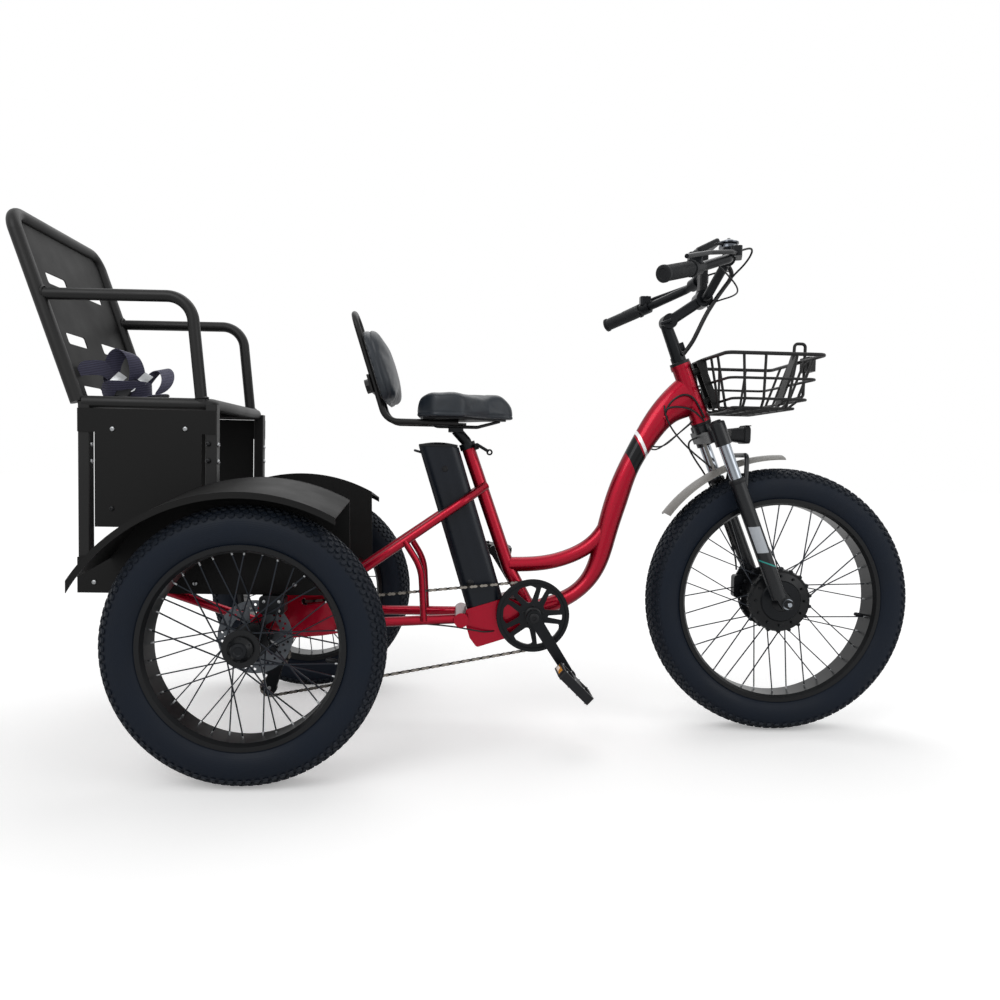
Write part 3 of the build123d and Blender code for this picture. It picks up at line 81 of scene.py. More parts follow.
frontHub = ahead(trike["wheelbase"], 0, trike["frontRadius"])
rightHub = ahead(0, -trike["halfTrack"], trike["rearRadius"])
leftHub = ahead(0, trike["halfTrack"], trike["rearRadius"])
crankHub = ahead(trike["bottomBracket"][0], 0, trike["bottomBracket"][1])
frontRim, rearRim = trike["frontFlange"] - trike["rimDepth"], trike["rearFlange"] - trike["rimDepth"]
packLean = radians(trike["packLean"])
print("layout ready")


# small tools for modelling
def deselectAll():
    if bpy.context.object and bpy.context.object.mode != "OBJECT":
        bpy.ops.object.mode_set(mode="OBJECT")
    bpy.ops.object.select_all(action="DESELECT")


def pick(*objs):
    deselectAll()
    for obj in objs:
        obj.select_set(True)
    bpy.context.view_layer.objects.active = objs[-1]
    return objs[-1]


def bakePlace(obj):
    pick(obj)
    bpy.ops.object.transform_apply(location=True, rotation=True, scale=True)
    return obj


def modify(obj, kind, **settings):
    pick(obj)
    modifier = obj.modifiers.new(kind.lower(), kind)
    for key, value in settings.items():
        setattr(modifier, key, value)
    bpy.ops.object.modifier_apply(modifier=modifier.name)
    return obj


def rounded(obj, edge, segments=2, angle=50):
    return modify(obj, "BEVEL", width=edge / 1000, segments=segments, limit_method="ANGLE", angle_limit=radians(angle))


def smooth(obj, angle=35):
    pick(obj)
    bpy.ops.object.shade_smooth_by_angle(angle=radians(angle))
    return obj


def editAll(obj):                      # edit mode with all of a mesh selected
    pick(obj)
    bpy.ops.object.mode_set(mode="EDIT")
    bpy.ops.mesh.select_all(action="SELECT")


def tidyShell(obj, distance=0.00001):
    editAll(obj)
    bpy.ops.mesh.remove_doubles(threshold=distance)
    bpy.ops.mesh.normals_make_consistent(inside=False)
    bpy.ops.object.mode_set(mode="OBJECT")
    return obj


def turnTo(direction):                 # local Z along a direction, local X kept level across the vehicle
    z = Vector(direction).normalized()
    x = sideways - z * sideways.dot(z)
    if x.length < 0.01:
        x = Vector((1, 0, 0))
    x.normalize()
    return Matrix((x, z.cross(x), z)).transposed().to_4x4()


def sized(x, y, z):                    # scales a form of unit size to millimetres
    return Matrix.Diagonal((x / 1000, y / 1000, z / 1000, 1))


def block(name, centre, size, direction=(0, 0, 1), edge=1.0, segments=2):
    deselectAll()
    bpy.ops.mesh.primitive_cube_add(size=1)
    obj = bpy.context.object
    obj.name = name
    obj.matrix_world = Matrix.Translation(centre) @ turnTo(direction) @ sized(*size)
    bakePlace(obj)
    if edge:
        rounded(obj, edge, segments, 30)
    return smooth(obj)


def rod(name, start, end, diameter, sides=24, edge=0.6):
    deselectAll()
    run = end - start
    bpy.ops.mesh.primitive_cylinder_add(vertices=sides, radius=diameter / 2000, depth=run.length)
    obj = bpy.context.object
    obj.name = name
    obj.matrix_world = Matrix.Translation((start + end) / 2) @ turnTo(run)
    bakePlace(obj)
    if edge:
        rounded(obj, edge)
    return smooth(obj)


def drawn(name, places):               # a line through these places, left in edit mode with all of it selected
    deselectAll()
    bpy.ops.mesh.primitive_plane_add(size=0.001, location=places[0])
    obj = bpy.context.object
    obj.name = name
    editAll(bakePlace(obj))
    bpy.ops.mesh.merge(type="CENTER")
    for last, spot in zip(places, places[1:]):
        bpy.ops.mesh.extrude_vertices_move(TRANSFORM_OT_translate={"value": spot - last})
    bpy.ops.mesh.select_all(action="SELECT")
    return obj


def lathed(name, profile, centre, axis, steps=48, closed=False):
    # profile pairs are (radius, distance along the axis) in millimetres
    axis = Vector(axis).normalized()
    out = turnTo(axis).to_3x3() @ Vector((1, 0, 0))
    places = [centre + out * r / 1000 + axis * a / 1000 for r, a in profile]
    if closed:
        places.append(places[0])
    obj = drawn(name, places)
    bpy.ops.mesh.spin(steps=steps, angle=2 * pi, center=centre, axis=axis)
    bpy.ops.object.mode_set(mode="OBJECT")
    return smooth(tidyShell(obj, 0.00003))


def ringOf(obj, count, centre, axis=(0, 1, 0)):    # repeats a form round an axle
    deselectAll()
    bpy.ops.object.empty_add()
    step = bpy.context.object
    step.matrix_world = (Matrix.Translation(centre) @ Matrix.Rotation(2 * pi / count, 4, Vector(axis))
                         @ Matrix.Translation(-centre))
    modify(obj, "ARRAY", use_relative_offset=False, use_object_offset=True, offset_object=step, count=count)
    bpy.data.objects.remove(step)
    return obj


def plateOf(name, outline, place, thickness, across, up, corner=0.0):
    # a flat sheet with this outline in millimetres, thickened towards across x up, its corners rounded
    across, up = Vector(across), Vector(up)
    obj = drawn(name, [place + (across * x + up * y) / 1000 for x, y in outline])
    bpy.ops.mesh.edge_face_add()
    if corner:
        bpy.ops.mesh.select_all(action="SELECT")
        bpy.ops.mesh.bevel(offset=corner / 1000, segments=5, affect="VERTICES")
    bpy.ops.mesh.select_all(action="SELECT")
    bpy.ops.mesh.extrude_region_move(TRANSFORM_OT_translate={"value": across.cross(up) * thickness / 1000})
    bpy.ops.object.mode_set(mode="OBJECT")
    return tidyShell(obj)


def cutBy(obj, cutter):                # takes the cutter's form out of a piece and drops the cutter
    modify(obj, "BOOLEAN", operation="DIFFERENCE", solver="EXACT", object=cutter)
    bpy.data.objects.remove(cutter)
    return smooth(obj)


def joined(name, parts):
    pick(*parts)
    if len(parts) > 1:
        bpy.ops.object.join()
    obj = bpy.context.object
    obj.name = name
    return obj


def copiesAt(name, template, placings):            # a form made once and copied, each copy with its own mesh
    parts = []
    for placing in placings:
        copy = template.copy()
        copy.data = template.data.copy()
        scene.collection.objects.link(copy)
        copy.matrix_world = placing
        parts.append(copy)
    bpy.data.objects.remove(template)
    return bakePlace(joined(name, parts))


def softLine(name, points, diameter, sides=3):     # a cable or wire on one smooth curve
    curve = bpy.data.curves.new(name, "CURVE")
    curve.dimensions = "3D"
    curve.bevel_depth = diameter / 2000
    curve.bevel_resolution = sides
    curve.resolution_u = 10
    curve.use_fill_caps = True
    spline = curve.splines.new("NURBS")
    spline.points.add(len(points) - 1)
    for point, place in zip(spline.points, points):
        point.co = (*place, 1)
    spline.order_u = 3
    spline.use_endpoint_u = True
    obj = bpy.data.objects.new(name, curve)
    scene.collection.objects.link(obj)
    pick(obj)
    bpy.ops.object.convert(target="MESH")
    return smooth(bpy.context.object, 60)


def place(obj, body, finish, slotName):            # a finished piece gets its body and finish
    bakePlace(obj)
    obj.data.materials.clear()
    obj.data.materials.append(mats[finish])
    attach(obj, body)
    return obj


def fit(name, parts, body, finish, slotName):
    return place(joined(name, parts), body, finish, slotName)


# materials
def paint(hexText):
    linear = []
    for start in (0, 2, 4):
        value = int(hexText[start:start + 2], 16) / 255
        linear.append(value / 12.92 if value <= 0.04045 else ((value + 0.055) / 1.055) ** 2.4)
    return (*linear, 1)


def addNode(material, kind, links=None, inputs=None, **settings):
    node = material.node_tree.nodes.new("ShaderNode" + kind)
    for key, value in settings.items():
        setattr(node, key, value)
    for key, value in (inputs or {}).items():
        node.inputs[key].default_value = value
    for key, (source, output) in (links or {}).items():
        material.node_tree.links.new(source.outputs[output], node.inputs[key])
    return node


def feed(material, source, output, shader, key):
    material.node_tree.links.new(source.outputs[output], shader.inputs[key])


def finishOf(name, hexText, roughness, metallic=0.0, **more):
    material = bpy.data.materials.new(name)
    material.use_nodes = True
    shader = material.node_tree.nodes["Principled BSDF"]
    shader.inputs["Base Color"].default_value = paint(hexText)
    shader.inputs["Roughness"].default_value = roughness
    shader.inputs["Metallic"].default_value = metallic
    for key, value in more.items():
        shader.inputs[key.replace("_", " ")].default_value = value
    return material, shader


def grainBump(material, shader, spot, scale, detail, strength, depth):
    grain = addNode(material, "TexNoise", {"Vector": (spot, "Object")}, {"Scale": scale, "Detail": detail})
    bump = addNode(material, "Bump", {"Height": (grain, "Fac")}, {"Strength": strength, "Distance": depth})
    feed(material, bump, "Normal", shader, "Normal")
    return bump


def addGrain(material, shader, size, strength, gloss, tones):
    # surface grain of a real size in millimetres, with the gloss and tone drifting a little over the piece
    spot = addNode(material, "TexCoord")
    bump = grainBump(material, shader, spot, 1000 / size, 3.0, strength, 0.0004)
    drift = addNode(material, "TexNoise", {"Vector": (spot, "Object")}, {"Scale": 9.0, "Detail": 6.0})
    sheen = addNode(material, "MapRange", {"Value": (drift, "Fac")},
                    {"From Min": 0.3, "From Max": 0.7, "To Min": gloss[0], "To Max": gloss[1]})
    feed(material, sheen, "Result", shader, "Roughness")
    blend = blended(material, (drift, "Fac"), tones[0], tones[1])
    feed(material, blend, 2, shader, "Base Color")
    return spot, bump, blend


def blended(material, factor, first, second):      # either side may be a hex colour or a blend already made
    blend = addNode(material, "Mix", {"Factor": factor}, data_type="RGBA")
    for socket, tone in ((6, first), (7, second)):
        if isinstance(tone, str):
            blend.inputs[socket].default_value = paint(tone)
        else:
            material.node_tree.links.new(tone.outputs[2], blend.inputs[socket])
    return blend


def between(material, source, start, end, soft):   # 1 where a value lies between two others, 0 elsewhere
    rise = addNode(material, "MapRange", {"Value": (source, "Value")},
                   {"From Min": start - soft, "From Max": start + soft})
    fall = addNode(material, "MapRange", {"Value": (source, "Value")},
                   {"From Min": end - soft, "From Max": end + soft, "To Min": 1, "To Max": 0})
    return addNode(material, "Math", {0: (rise, "Result"), 1: (fall, "Result")}, operation="MULTIPLY")


def bandMask(material, spot, origin, direction, start, end, inside=None):
    # 1 between two distances in metres along a direction, kept to another mask where one is given
    moved = addNode(material, "VectorMath", {0: (spot, "Object")}, {1: tuple(origin)}, operation="SUBTRACT")
    along = addNode(material, "VectorMath", {0: (moved, "Vector")},
                    {1: tuple(Vector(direction).normalized())}, operation="DOT_PRODUCT")
    mask = between(material, along, start, end, 0.0004)
    if inside:
        mask = addNode(material, "Math", {0: (mask, "Value"), 1: (inside, "Value")}, operation="MULTIPLY")
    return mask


def candyPaint(name, striped):
    # aluminium frame sprayed with candy red over silver, then clear lacquer, wet-looking: the red is painted deeper
    # where the surface turns away from view, partly the candy's own depth and partly painted shade
    material, shader = finishOf(name, "A2001E", 0.36, 0.88, Coat_Weight=0.3, Coat_Roughness=0.08)
    spot = addNode(material, "TexCoord")
    # flakes 1.2 mm across, coarse so that they show, each a painted glint that is lighter at its middle
    flake = addNode(material, "TexVoronoi", {"Vector": (spot, "Object")}, {"Scale": 1000 / 1.2})
    facing = addNode(material, "LayerWeight", inputs={"Blend": 0.42})
    glint = addNode(material, "Math", {0: (flake, "Distance")}, {1: 0.3}, operation="MULTIPLY")
    # painted shade towards the edges and painted glints on the flakes set how deep the red is
    depth = addNode(material, "Math", {0: (facing, "Facing"), 1: (glint, "Value")},
                    operation="ADD", use_clamp=True)
    base = blended(material, (depth, "Value"), "AE0026", "44000F")
    if striped:                                    # the slanting white and black bands across the main tube
        top, foot = ahead(880, 0, 769), ahead(915.5, 0, 696)
        middle, square = (top + foot) / 2, Vector(((foot - top).z, 0, -(foot - top).x))
        reach = bandMask(material, spot, middle, foot - top, -0.09, 0.09)
        for start, end, tone in ((0.009, 0.046, "0A0B0E"), (-0.004, 0.004, "ECEDEF")):
            band = bandMask(material, spot, middle, square, start, end, reach)
            base = blended(material, (band, "Value"), base, tone)
    feed(material, base, 2, shader, "Base Color")
    grainBump(material, shader, spot, 220.0, 2.0, 0.04, 0.0005)
    return material


def fromAxle(material, spot, hub):                 # distance from an axle that runs across the vehicle
    moved = addNode(material, "VectorMath", {0: (spot, "Object")}, {1: tuple(hub)}, operation="SUBTRACT")
    flat = addNode(material, "VectorMath", {0: (moved, "Vector")}, {1: (1, 0, 1)}, operation="MULTIPLY")
    return addNode(material, "VectorMath", {0: (flat, "Vector")}, operation="LENGTH")


def rippleBump(material, distance, spacing, strength, depth, under=None):
    wave = addNode(material, "Math", {0: (distance, "Value")}, {1: 2000 * pi / spacing}, operation="MULTIPLY")
    rings = addNode(material, "Math", {0: (wave, "Value")}, operation="SINE")
    links = {"Height": (rings, "Value")}
    if under:
        links["Normal"] = (under, "Normal")
    return addNode(material, "Bump", links, {"Strength": strength, "Distance": depth})


def tyreRubber(name, hub, flange):
    # vulcanised rubber from a steel mould: navy black with a soft bloom on the sidewall and fine rings
    material, shader = finishOf(name, "0A1420", 0.55, Specular_IOR_Level=0.2)
    spot, bump, tone = addGrain(material, shader, 0.8, 0.3, (0.46, 0.66), ("050D18", "0A1523"))
    out = fromAxle(material, spot, hub)
    # the tread is painted a lighter tone than the sidewall, a painted highlight
    tread = addNode(material, "MapRange", {"Value": (out, "Value")},
                    {"From Min": (flange + 50) / 1000, "From Max": (flange + 60) / 1000})
    feed(material, blended(material, (tread, "Result"), tone, "10161F"), 2, shader, "Base Color")
    feed(material, rippleBump(material, out, 4.2, 0.12, 0.0006, bump), "Normal", shader, "Normal")
    return material


def wheelFinish(name, hub, hubRadius, rimRadius):
    # anodised black rim and hub, with thin drawn-steel spokes between them
    material, shader = finishOf(name, "0C0E11", 0.3, 0.5, Specular_IOR_Level=0.4)
    spot = addNode(material, "TexCoord")
    out = fromAxle(material, spot, hub)
    spokes = between(material, out, (hubRadius + 0.5) / 1000, (rimRadius - 0.5) / 1000, 0.0005)
    feed(material, blended(material, (spokes, "Value"), "0A0C0F", "2E3136"), 2, shader, "Base Color")
    metal = addNode(material, "MapRange", {"Value": (spokes, "Value")}, {"To Min": 0.35, "To Max": 1.0})
    feed(material, metal, "Result", shader, "Metallic")
    grainBump(material, shader, spot, 900.0, 2.0, 0.08, 0.0003)
    return material


def turnedSteel(name, hub):
    # stainless brake disc, surface ground: pale grey with fine circles round the axle
    material, shader = finishOf(name, "54575B", 0.3, 1.0)
    spot, bump = addGrain(material, shader, 3.0, 0.05, (0.24, 0.42), ("45484C", "6B6F74"))[:2]
    circles = rippleBump(material, fromAxle(material, spot, hub), 0.9, 0.1, 0.0002, bump)
    feed(material, circles, "Normal", shader, "Normal")
    return material


def plainFinish(name, roughness, metallic, size, depth, gloss, tones, **more):
    material, shader = finishOf(name, tones[0], roughness, metallic, **more)
    addGrain(material, shader, size, depth, gloss, tones)
    return material


def forkLacquer():
    # magnesium lower leg in gloss black lacquer, with a plain silver panel and a thin teal line on the right leg
    material, shader = finishOf("forkLacquer", "07090C", 0.26, 0.0, Specular_IOR_Level=0.4)
    spot, _, tone = addGrain(material, shader, 2.0, 0.03, (0.22, 0.34), ("06080C", "0C1015"))
    outside = bandMask(material, spot, (0, 0, 0), (0, -1, 0), 0.084, 0.2)
    tilted = steerUp + steerAhead * 0.28
    middle, low = steer(8, 0, 182), steer(8, 0, 119)
    panel = bandMask(material, spot, middle, tilted, -0.034, 0.033, outside)
    panel = bandMask(material, spot, middle, steerAhead, -0.012, 0.014, panel)
    tone = blended(material, (panel, "Value"), tone, "A6ABB1")
    line = bandMask(material, spot, low, steerUp + steerAhead * 0.85, -0.0016, 0.0016, outside)
    feed(material, blended(material, (line, "Value"), tone, "1F8F86"), 2, shader, "Base Color")
    return material


def batteryFinish():
    # extruded aluminium case, anodised black, with long shallow flutes down its sides
    material, shader = finishOf("batteryCase", "070C14", 0.3, 0.1, Specular_IOR_Level=0.3)
    spot, bump = addGrain(material, shader, 0.6, 0.08, (0.26, 0.38), ("050A12", "0A121D"))[:2]
    apart = addNode(material, "VectorMath", {0: (spot, "Object")}, {1: (cos(packLean), 0, sin(packLean))},
                    operation="DOT_PRODUCT")
    feed(material, rippleBump(material, apart, 26, 0.22, 0.0012, bump), "Normal", shader, "Normal")
    return material


def vinylFinish():
    # PVC-coated cloth stretched over moulded foam: pebble grain under 2 mm and a soft highlight; the tone is painted
    # lighter on the rises of the creases and darker in their hollows, as painted highlight and shade
    material, shader = finishOf("stretchedVinyl", "131A22", 0.44, Specular_IOR_Level=0.45)
    spot = addNode(material, "TexCoord")
    pebbles = addNode(material, "TexVoronoi", {"Vector": (spot, "Object")}, {"Scale": 1000 / 1.9})
    creasesAndShade = addNode(material, "TexNoise", {"Vector": (spot, "Object")}, {"Scale": 45.0, "Detail": 5.0})
    coarse = addNode(material, "Bump", {"Height": (creasesAndShade, "Fac")}, {"Strength": 0.12, "Distance": 0.002})
    fine = addNode(material, "Bump", {"Height": (pebbles, "Distance"), "Normal": (coarse, "Normal")},
                   {"Strength": 0.25, "Distance": 0.0004})
    feed(material, fine, "Normal", shader, "Normal")
    # painted shade in the hollows of the creases, painted highlight on their rises
    feed(material, blended(material, (creasesAndShade, "Fac"), "0D131A", "1A232C"), 2, shader, "Base Color")
    gloss = addNode(material, "MapRange", {"Value": (creasesAndShade, "Fac")}, {"To Min": 0.34, "To Max": 0.52})
    feed(material, gloss, "Result", shader, "Roughness")
    return material


def webbingFinish():
    # woven polyester webbing: ribs across the strap about 2 mm apart, slate violet
    material, shader = finishOf("wovenWebbing", "2B2A3E", 0.7, Sheen_Weight=0.35, Sheen_Roughness=0.4)
    spot = addNode(material, "TexCoord")
    rib = addNode(material, "TexWave", {"Vector": (spot, "Object")}, {"Scale": 80.0, "Distortion": 1.5},
                  bands_direction="Z")
    thread = addNode(material, "TexWave", {"Vector": (spot, "Object")}, {"Scale": 120.0, "Distortion": 1.0},
                     bands_direction="DIAGONAL")
    weave = addNode(material, "Math", {0: (rib, "Fac"), 1: (thread, "Fac")}, operation="ADD")
    bump = addNode(material, "Bump", {"Height": (weave, "Value")}, {"Strength": 0.5, "Distance": 0.0006})
    feed(material, bump, "Normal", shader, "Normal")
    # the tone follows the ribs, painted lighter on them and darker between them as painted highlight and shade
    feed(material, blended(material, (rib, "Fac"), "1D1C2E", "46455F"), 2, shader, "Base Color")
    return material


def lampLens():
    # polycarbonate lens, moulded with upright ribs 6 mm apart
    material, shader = finishOf("lampLens", "DCE4EA", 0.08, IOR=1.58, Coat_Weight=0.5)
    spot = addNode(material, "TexCoord")
    across = addNode(material, "VectorMath", {0: (spot, "Object")}, {1: (0, 1, 0)}, operation="DOT_PRODUCT")
    feed(material, rippleBump(material, across, 6, 0.5, 0.001), "Normal", shader, "Normal")
    return material


mats = {
    "frameStriped": candyPaint("candyPaintStriped", True),
    "frame": candyPaint("candyPaint", False),
    # polyester powder coat, sprayed and baked: even satin black with a faint orange peel
    "powder": plainFinish("powderCoatTube", 0.42, 0.0, 1.4, 0.16, (0.36, 0.5),
                          ("0B0B0C", "131313"), Specular_IOR_Level=0.3),
    # the same coat on folded sheet, a little duller
    "sheet": plainFinish("powderCoatSheet", 0.5, 0.0, 1.8, 0.12, (0.46, 0.62),
                         ("0A0A0A", "121212"), Specular_IOR_Level=0.18),
    # aluminium, bead blasted and dyed black: dark metal sheen
    "anodised": plainFinish("anodisedAluminium", 0.36, 0.4, 0.5, 0.12, (0.28, 0.42),
                            ("0A0C0F", "15181C"), Specular_IOR_Level=0.3),
    # ABS, injection moulded: soft sheen over a spark-eroded grain
    "plastic": plainFinish("mouldedPlastic", 0.45, 0.0, 0.8, 0.3, (0.38, 0.55),
                           ("090A0D", "111317"), Specular_IOR_Level=0.28),
    # hard chrome on drawn steel tube: near mirror
    "chrome": plainFinish("hardChrome", 0.09, 1.0, 4.0, 0.01, (0.08, 0.18), ("8F959C", "ABB1B8")),
    # zinc-plated steel fasteners: pale and slightly cloudy
    "zinc": plainFinish("zincSteel", 0.32, 1.0, 0.6, 0.12, (0.25, 0.4), ("8F9193", "B6B8BA")),
    # nickel-plated chain steel, stamped and oiled: warm grey with a greasy gloss
    "oiled": plainFinish("oiledSteel", 0.33, 1.0, 0.6, 0.2, (0.24, 0.46), ("6E6963", "A8A29A")),
    # the same steel painted dark as shade, for the inner links and rollers that sit between the outer plates
    "oiledShaded": plainFinish("oiledSteelShaded", 0.4, 0.8, 0.6, 0.2, (0.3, 0.5), ("1C1A18", "34312D")),
    # chemically blackened steel, machined
    "blackSteel": plainFinish("blackenedSteel", 0.35, 0.5, 0.9, 0.15, (0.3, 0.46), ("0D0E10", "17181B")),
    # PVC cable housing, extruded: smooth with a waxy shine
    "cable": plainFinish("cableHousing", 0.38, 0.0, 1.0, 0.08, (0.3, 0.45),
                         ("08090B", "0E0F12"), Specular_IOR_Level=0.35),
    # thermoplastic rubber grip, moulded: matt
    "grip": plainFinish("gripRubber", 0.62, 0.0, 0.5, 0.35, (0.52, 0.7),
                        ("0D0F11", "181B1F"), Specular_IOR_Level=0.35),
    # polypropylene mudguard, moulded in grey: matt with a light grain
    "guard": plainFinish("mudguardPlastic", 0.42, 0.0, 1.2, 0.2, (0.34, 0.5), ("6E6C68", "8A8883")),
    # alloy bell, buffed and chromed, its metal painted dark as shade: dark mirror
    "polished": plainFinish("shadedChrome", 0.12, 1.0, 3.0, 0.02, (0.08, 0.2), ("34373C", "6C7076")),
    # acrylic reflector, moulded: amber with a wet coat
    "amber": plainFinish("amberAcrylic", 0.15, 0.0, 2.0, 0.5, (0.1, 0.2), ("C97A08", "F0A628"), Coat_Weight=0.8),
    "tyreFront": tyreRubber("tyreRubberFront", frontHub, trike["frontFlange"]),
    "tyreRight": tyreRubber("tyreRubberRight", rightHub, trike["rearFlange"]),
    "tyreLeft": tyreRubber("tyreRubberLeft", leftHub, trike["rearFlange"]),
    "wheelFront": wheelFinish("blackRimFront", frontHub, 82, frontRim - 0.5),
    "wheelRear": wheelFinish("blackRimRear", rightHub, 39.5, rearRim - 0.5),
    "rotorFront": turnedSteel("discSteelFront", frontHub),
    "rotorRear": turnedSteel("discSteelRear", rightHub),
    "fork": forkLacquer(), "battery": batteryFinish(), "vinyl": vinylFinish(), "webbing": webbingFinish(),
    "lens": lampLens(),
    # hard-coated acrylic over a dark liquid crystal: deep gloss
    "screen": plainFinish("displayAcrylic", 0.06, 0.0, 6.0, 0.01, (0.04, 0.09),
                          ("0A0D12", "141B24"), Coat_Weight=1.0),
}

# the solids that stay in view, by finish
nodeFinish = {
    "frameStriped": "main_frame", "frame": "rear_frame", "blackSteel": "rear_axle front_axle",
    "anodised": "rear_calipers derailleur seat_post stem handlebar brake_levers front_caliper crank_arms",
    "battery": "battery", "plastic": "saddle_rails display headlamp pedal_right pedal_left",
    "powder": "backrest_frame backrest_bracket bench_frame bench_legs basket",
    "sheet": "bench_side_panels bench_seat_pan fender_right fender_left",
    "fork": "fork_crown fork_lowers", "chrome": "fork_stanchions", "grip": "grips", "polished": "bell",
    "guard": "front_fender", "wheelFront": "front_wheel", "wheelRear": "rear_wheel_right rear_wheel_left",
}
for finishName, nodeNames in nodeFinish.items():
    for nodeName in nodeNames.split():
        for holder in nodes[nodeName].material_slots:
            holder.material = mats[finishName]
print("materials ready")

# tyres: a carcass spun from its section, and moulded tread blocks
tyreSet = {
    "steps": 128, "rows": (0, 12.5, 24.5, 35, 43), "blocks": 96, "blockWidth": 11, "blockLength": 15, "blockHeight": 4,
    "blockFoot": 0.8, "blockSkew": 24, "groove": 3.8, "drop": 17, "halfWidth": 44, "bend": 2.6, "wallHeight": 78,
    "sidewall": [(-4, 35), (1.5, 36.4), (5, 40), (12, 45), (24, 48.4), (36, 49.2), (47, 47.8), (56, 44.5)],
    "crown": (38, 31, 24, 16, 8),
}


def crownHeight(tyreRadius, across):
    return tyreRadius - tyreSet["groove"] - tyreSet["drop"] * (abs(across) / tyreSet["halfWidth"]) ** tyreSet["bend"]


def fatTyre(name, hub, tyreRadius, flange, body, nodeName, finishName):
    rise = (tyreRadius - flange) / tyreSet["wallHeight"]
    half = [(flange + h * rise, w) for h, w in tyreSet["sidewall"]]
    half += [(crownHeight(tyreRadius, w), w) for w in tyreSet["crown"]]
    section = half + [(crownHeight(tyreRadius, 0), 0)] + [(r, -w) for r, w in half[::-1]]
    parts = [lathed(name, section, hub, (0, 1, 0), tyreSet["steps"], closed=True)]
    wide, bend, tall = tyreSet["halfWidth"], tyreSet["bend"], tyreSet["blockHeight"]
    for row, across in enumerate(tyreSet["rows"]):
        for side in ((1,) if row == 0 else (1, -1)):
            fall = tyreSet["drop"] * bend * (across / wide) ** (bend - 1) / wide * side
            out = Vector((0, fall, 1)).normalized()
            reach = crownHeight(tyreRadius, across) - tyreSet["blockFoot"]
            foot = hub + Vector((0, side * across, reach)) / 1000
            deselectAll()
            bpy.ops.mesh.primitive_cone_add(vertices=6, radius1=0.5, radius2=0.4, depth=1, end_fill_type="NGON")
            lug = bpy.context.object
            skew = Matrix.Rotation(radians(tyreSet["blockSkew"] * (1 if row % 2 else -1)) * side, 4, "Z")
            lug.matrix_world = (Matrix.Translation(foot + out * tall / 2000) @ turnTo(out) @ skew
                                @ sized(tyreSet["blockWidth"], tyreSet["blockLength"], tall))
            editAll(bakePlace(lug))
            turn = (row % 2) * pi / tyreSet["blocks"]
            bpy.ops.transform.rotate(value=turn, orient_axis="Y", center_override=hub)
            bpy.ops.object.mode_set(mode="OBJECT")
            parts.append(ringOf(lug, tyreSet["blocks"], hub))
    tyre = fit(name, parts, body, finishName, "tyre_rubber")
    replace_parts(smooth(tyre, 30), nodeName)


for name, hub, size, body, nodeName, finishName in (
    ("frontFatTyre", frontHub, "front", "front_wheel_set", "front_tyre", "tyreFront"),
    ("rightFatTyre", rightHub, "rear", "right_wheel_set", "rear_tyre_right", "tyreRight"),
    ("leftFatTyre", leftHub, "rear", "left_wheel_set", "rear_tyre_left", "tyreLeft"),
):
    fatTyre(name, hub, trike[size + "Radius"], trike[size + "Flange"], body, nodeName, finishName)
print("tyres ready")

# wheel fittings: spoke nipples where the laced spokes meet the rim, valves, hub bolts
wheelSet = {
    "nipple": 4.4, "nippleLength": 12, "spokes": 36, "frontLace": (78, 30, 22), "rearLace": (34, 34, 62),
    "valveAngle": -10, "valveLength": 30,
}


def wheelFittings(name, hub, rimInner, lace, mirrored, body):
    hubRadius, flangeSide, crossing = lace
    nipples = []
    for number in range(4):
        side = flangeSide if number % 2 else -flangeSide
        angle = radians(number * 360 / wheelSet["spokes"])
        swing = radians(crossing if number < 2 else -crossing)
        ends = []
        for turn, radius, out in ((angle + swing, hubRadius, side), (angle, rimInner + 4, side * 0.25)):
            ends.append(hub + Vector((radius * cos(turn), out if mirrored else -out, radius * sin(turn))) / 1000)
        back = (ends[0] - ends[1]).normalized()
        nipple = rod("nipple", ends[1], ends[1] + back * wheelSet["nippleLength"] / 1000, wheelSet["nipple"], 8, 0.5)
        nipples.append(ringOf(nipple, wheelSet["spokes"] // 4, hub))
    fit(name + "Nipples", nipples, body, "zinc", "black_rim")
    turn = radians(wheelSet["valveAngle"])
    inward = Vector((-cos(turn), 0, -sin(turn)))
    foot = hub - inward * (rimInner + 1) / 1000
    stem = [(0.1, -2), (4.4, -2), (4.4, 9), (4.9, 10), (4.9, 25), (3.6, 29), (0.1, wheelSet["valveLength"])]
    place(lathed(name + "Valve", stem, foot, inward, 20), body, "plastic", "black_rim")


wheelFittings("front", frontHub, frontRim, wheelSet["frontLace"], False, "front_wheel_set")
wheelFittings("right", rightHub, rearRim, wheelSet["rearLace"], False, "right_wheel_set")
wheelFittings("left", leftHub, rearRim, wheelSet["rearLace"], True, "left_wheel_set")

motorParts = []
for side in (1, -1):
    out = sideways * side
    seat = frontHub + out * 0.0245 + Vector((0, 0, 0.0795))
    motorParts.append(ringOf(rod("lug", seat, seat + out * 0.0105, 9.5, 12, 0.8), 18, frontHub))
    seat = frontHub + out * 0.035 + Vector((0, 0, 0.0645))
    motorParts.append(ringOf(rod("screw", seat, seat + out * 0.0062, 6.5, 6, 0.5), 12, frontHub))
    motorParts.append(lathed("plate", [(24, 43), (26, 45.6), (50, 43.6), (53, 40)], frontHub, (0, side, 0), 48))
fit("motorCovers", motorParts, "front_wheel_set", "anodised", "black_rim")

for name, hub, side, body in (("right", rightHub, -1, "right_wheel_set"), ("left", leftHub, 1, "left_wheel_set")):
    cap = lathed(name + "HubCap", [(17.2, 50), (17.6, 53.6), (15.5, 56.6), (10, 58), (8, 56.4), (0.1, 56.4)],
                 hub, (0, side, 0), 40)
    seat = hub + Vector((0, side * 0.0435, 0.0215))
    screws = ringOf(rod("screw", seat, seat + Vector((0, side * 0.0055, 0)), 6, 6, 0.4), 6, hub)
    fit(name + "HubFittings", [cap, screws], body, "anodised", "black_rim")

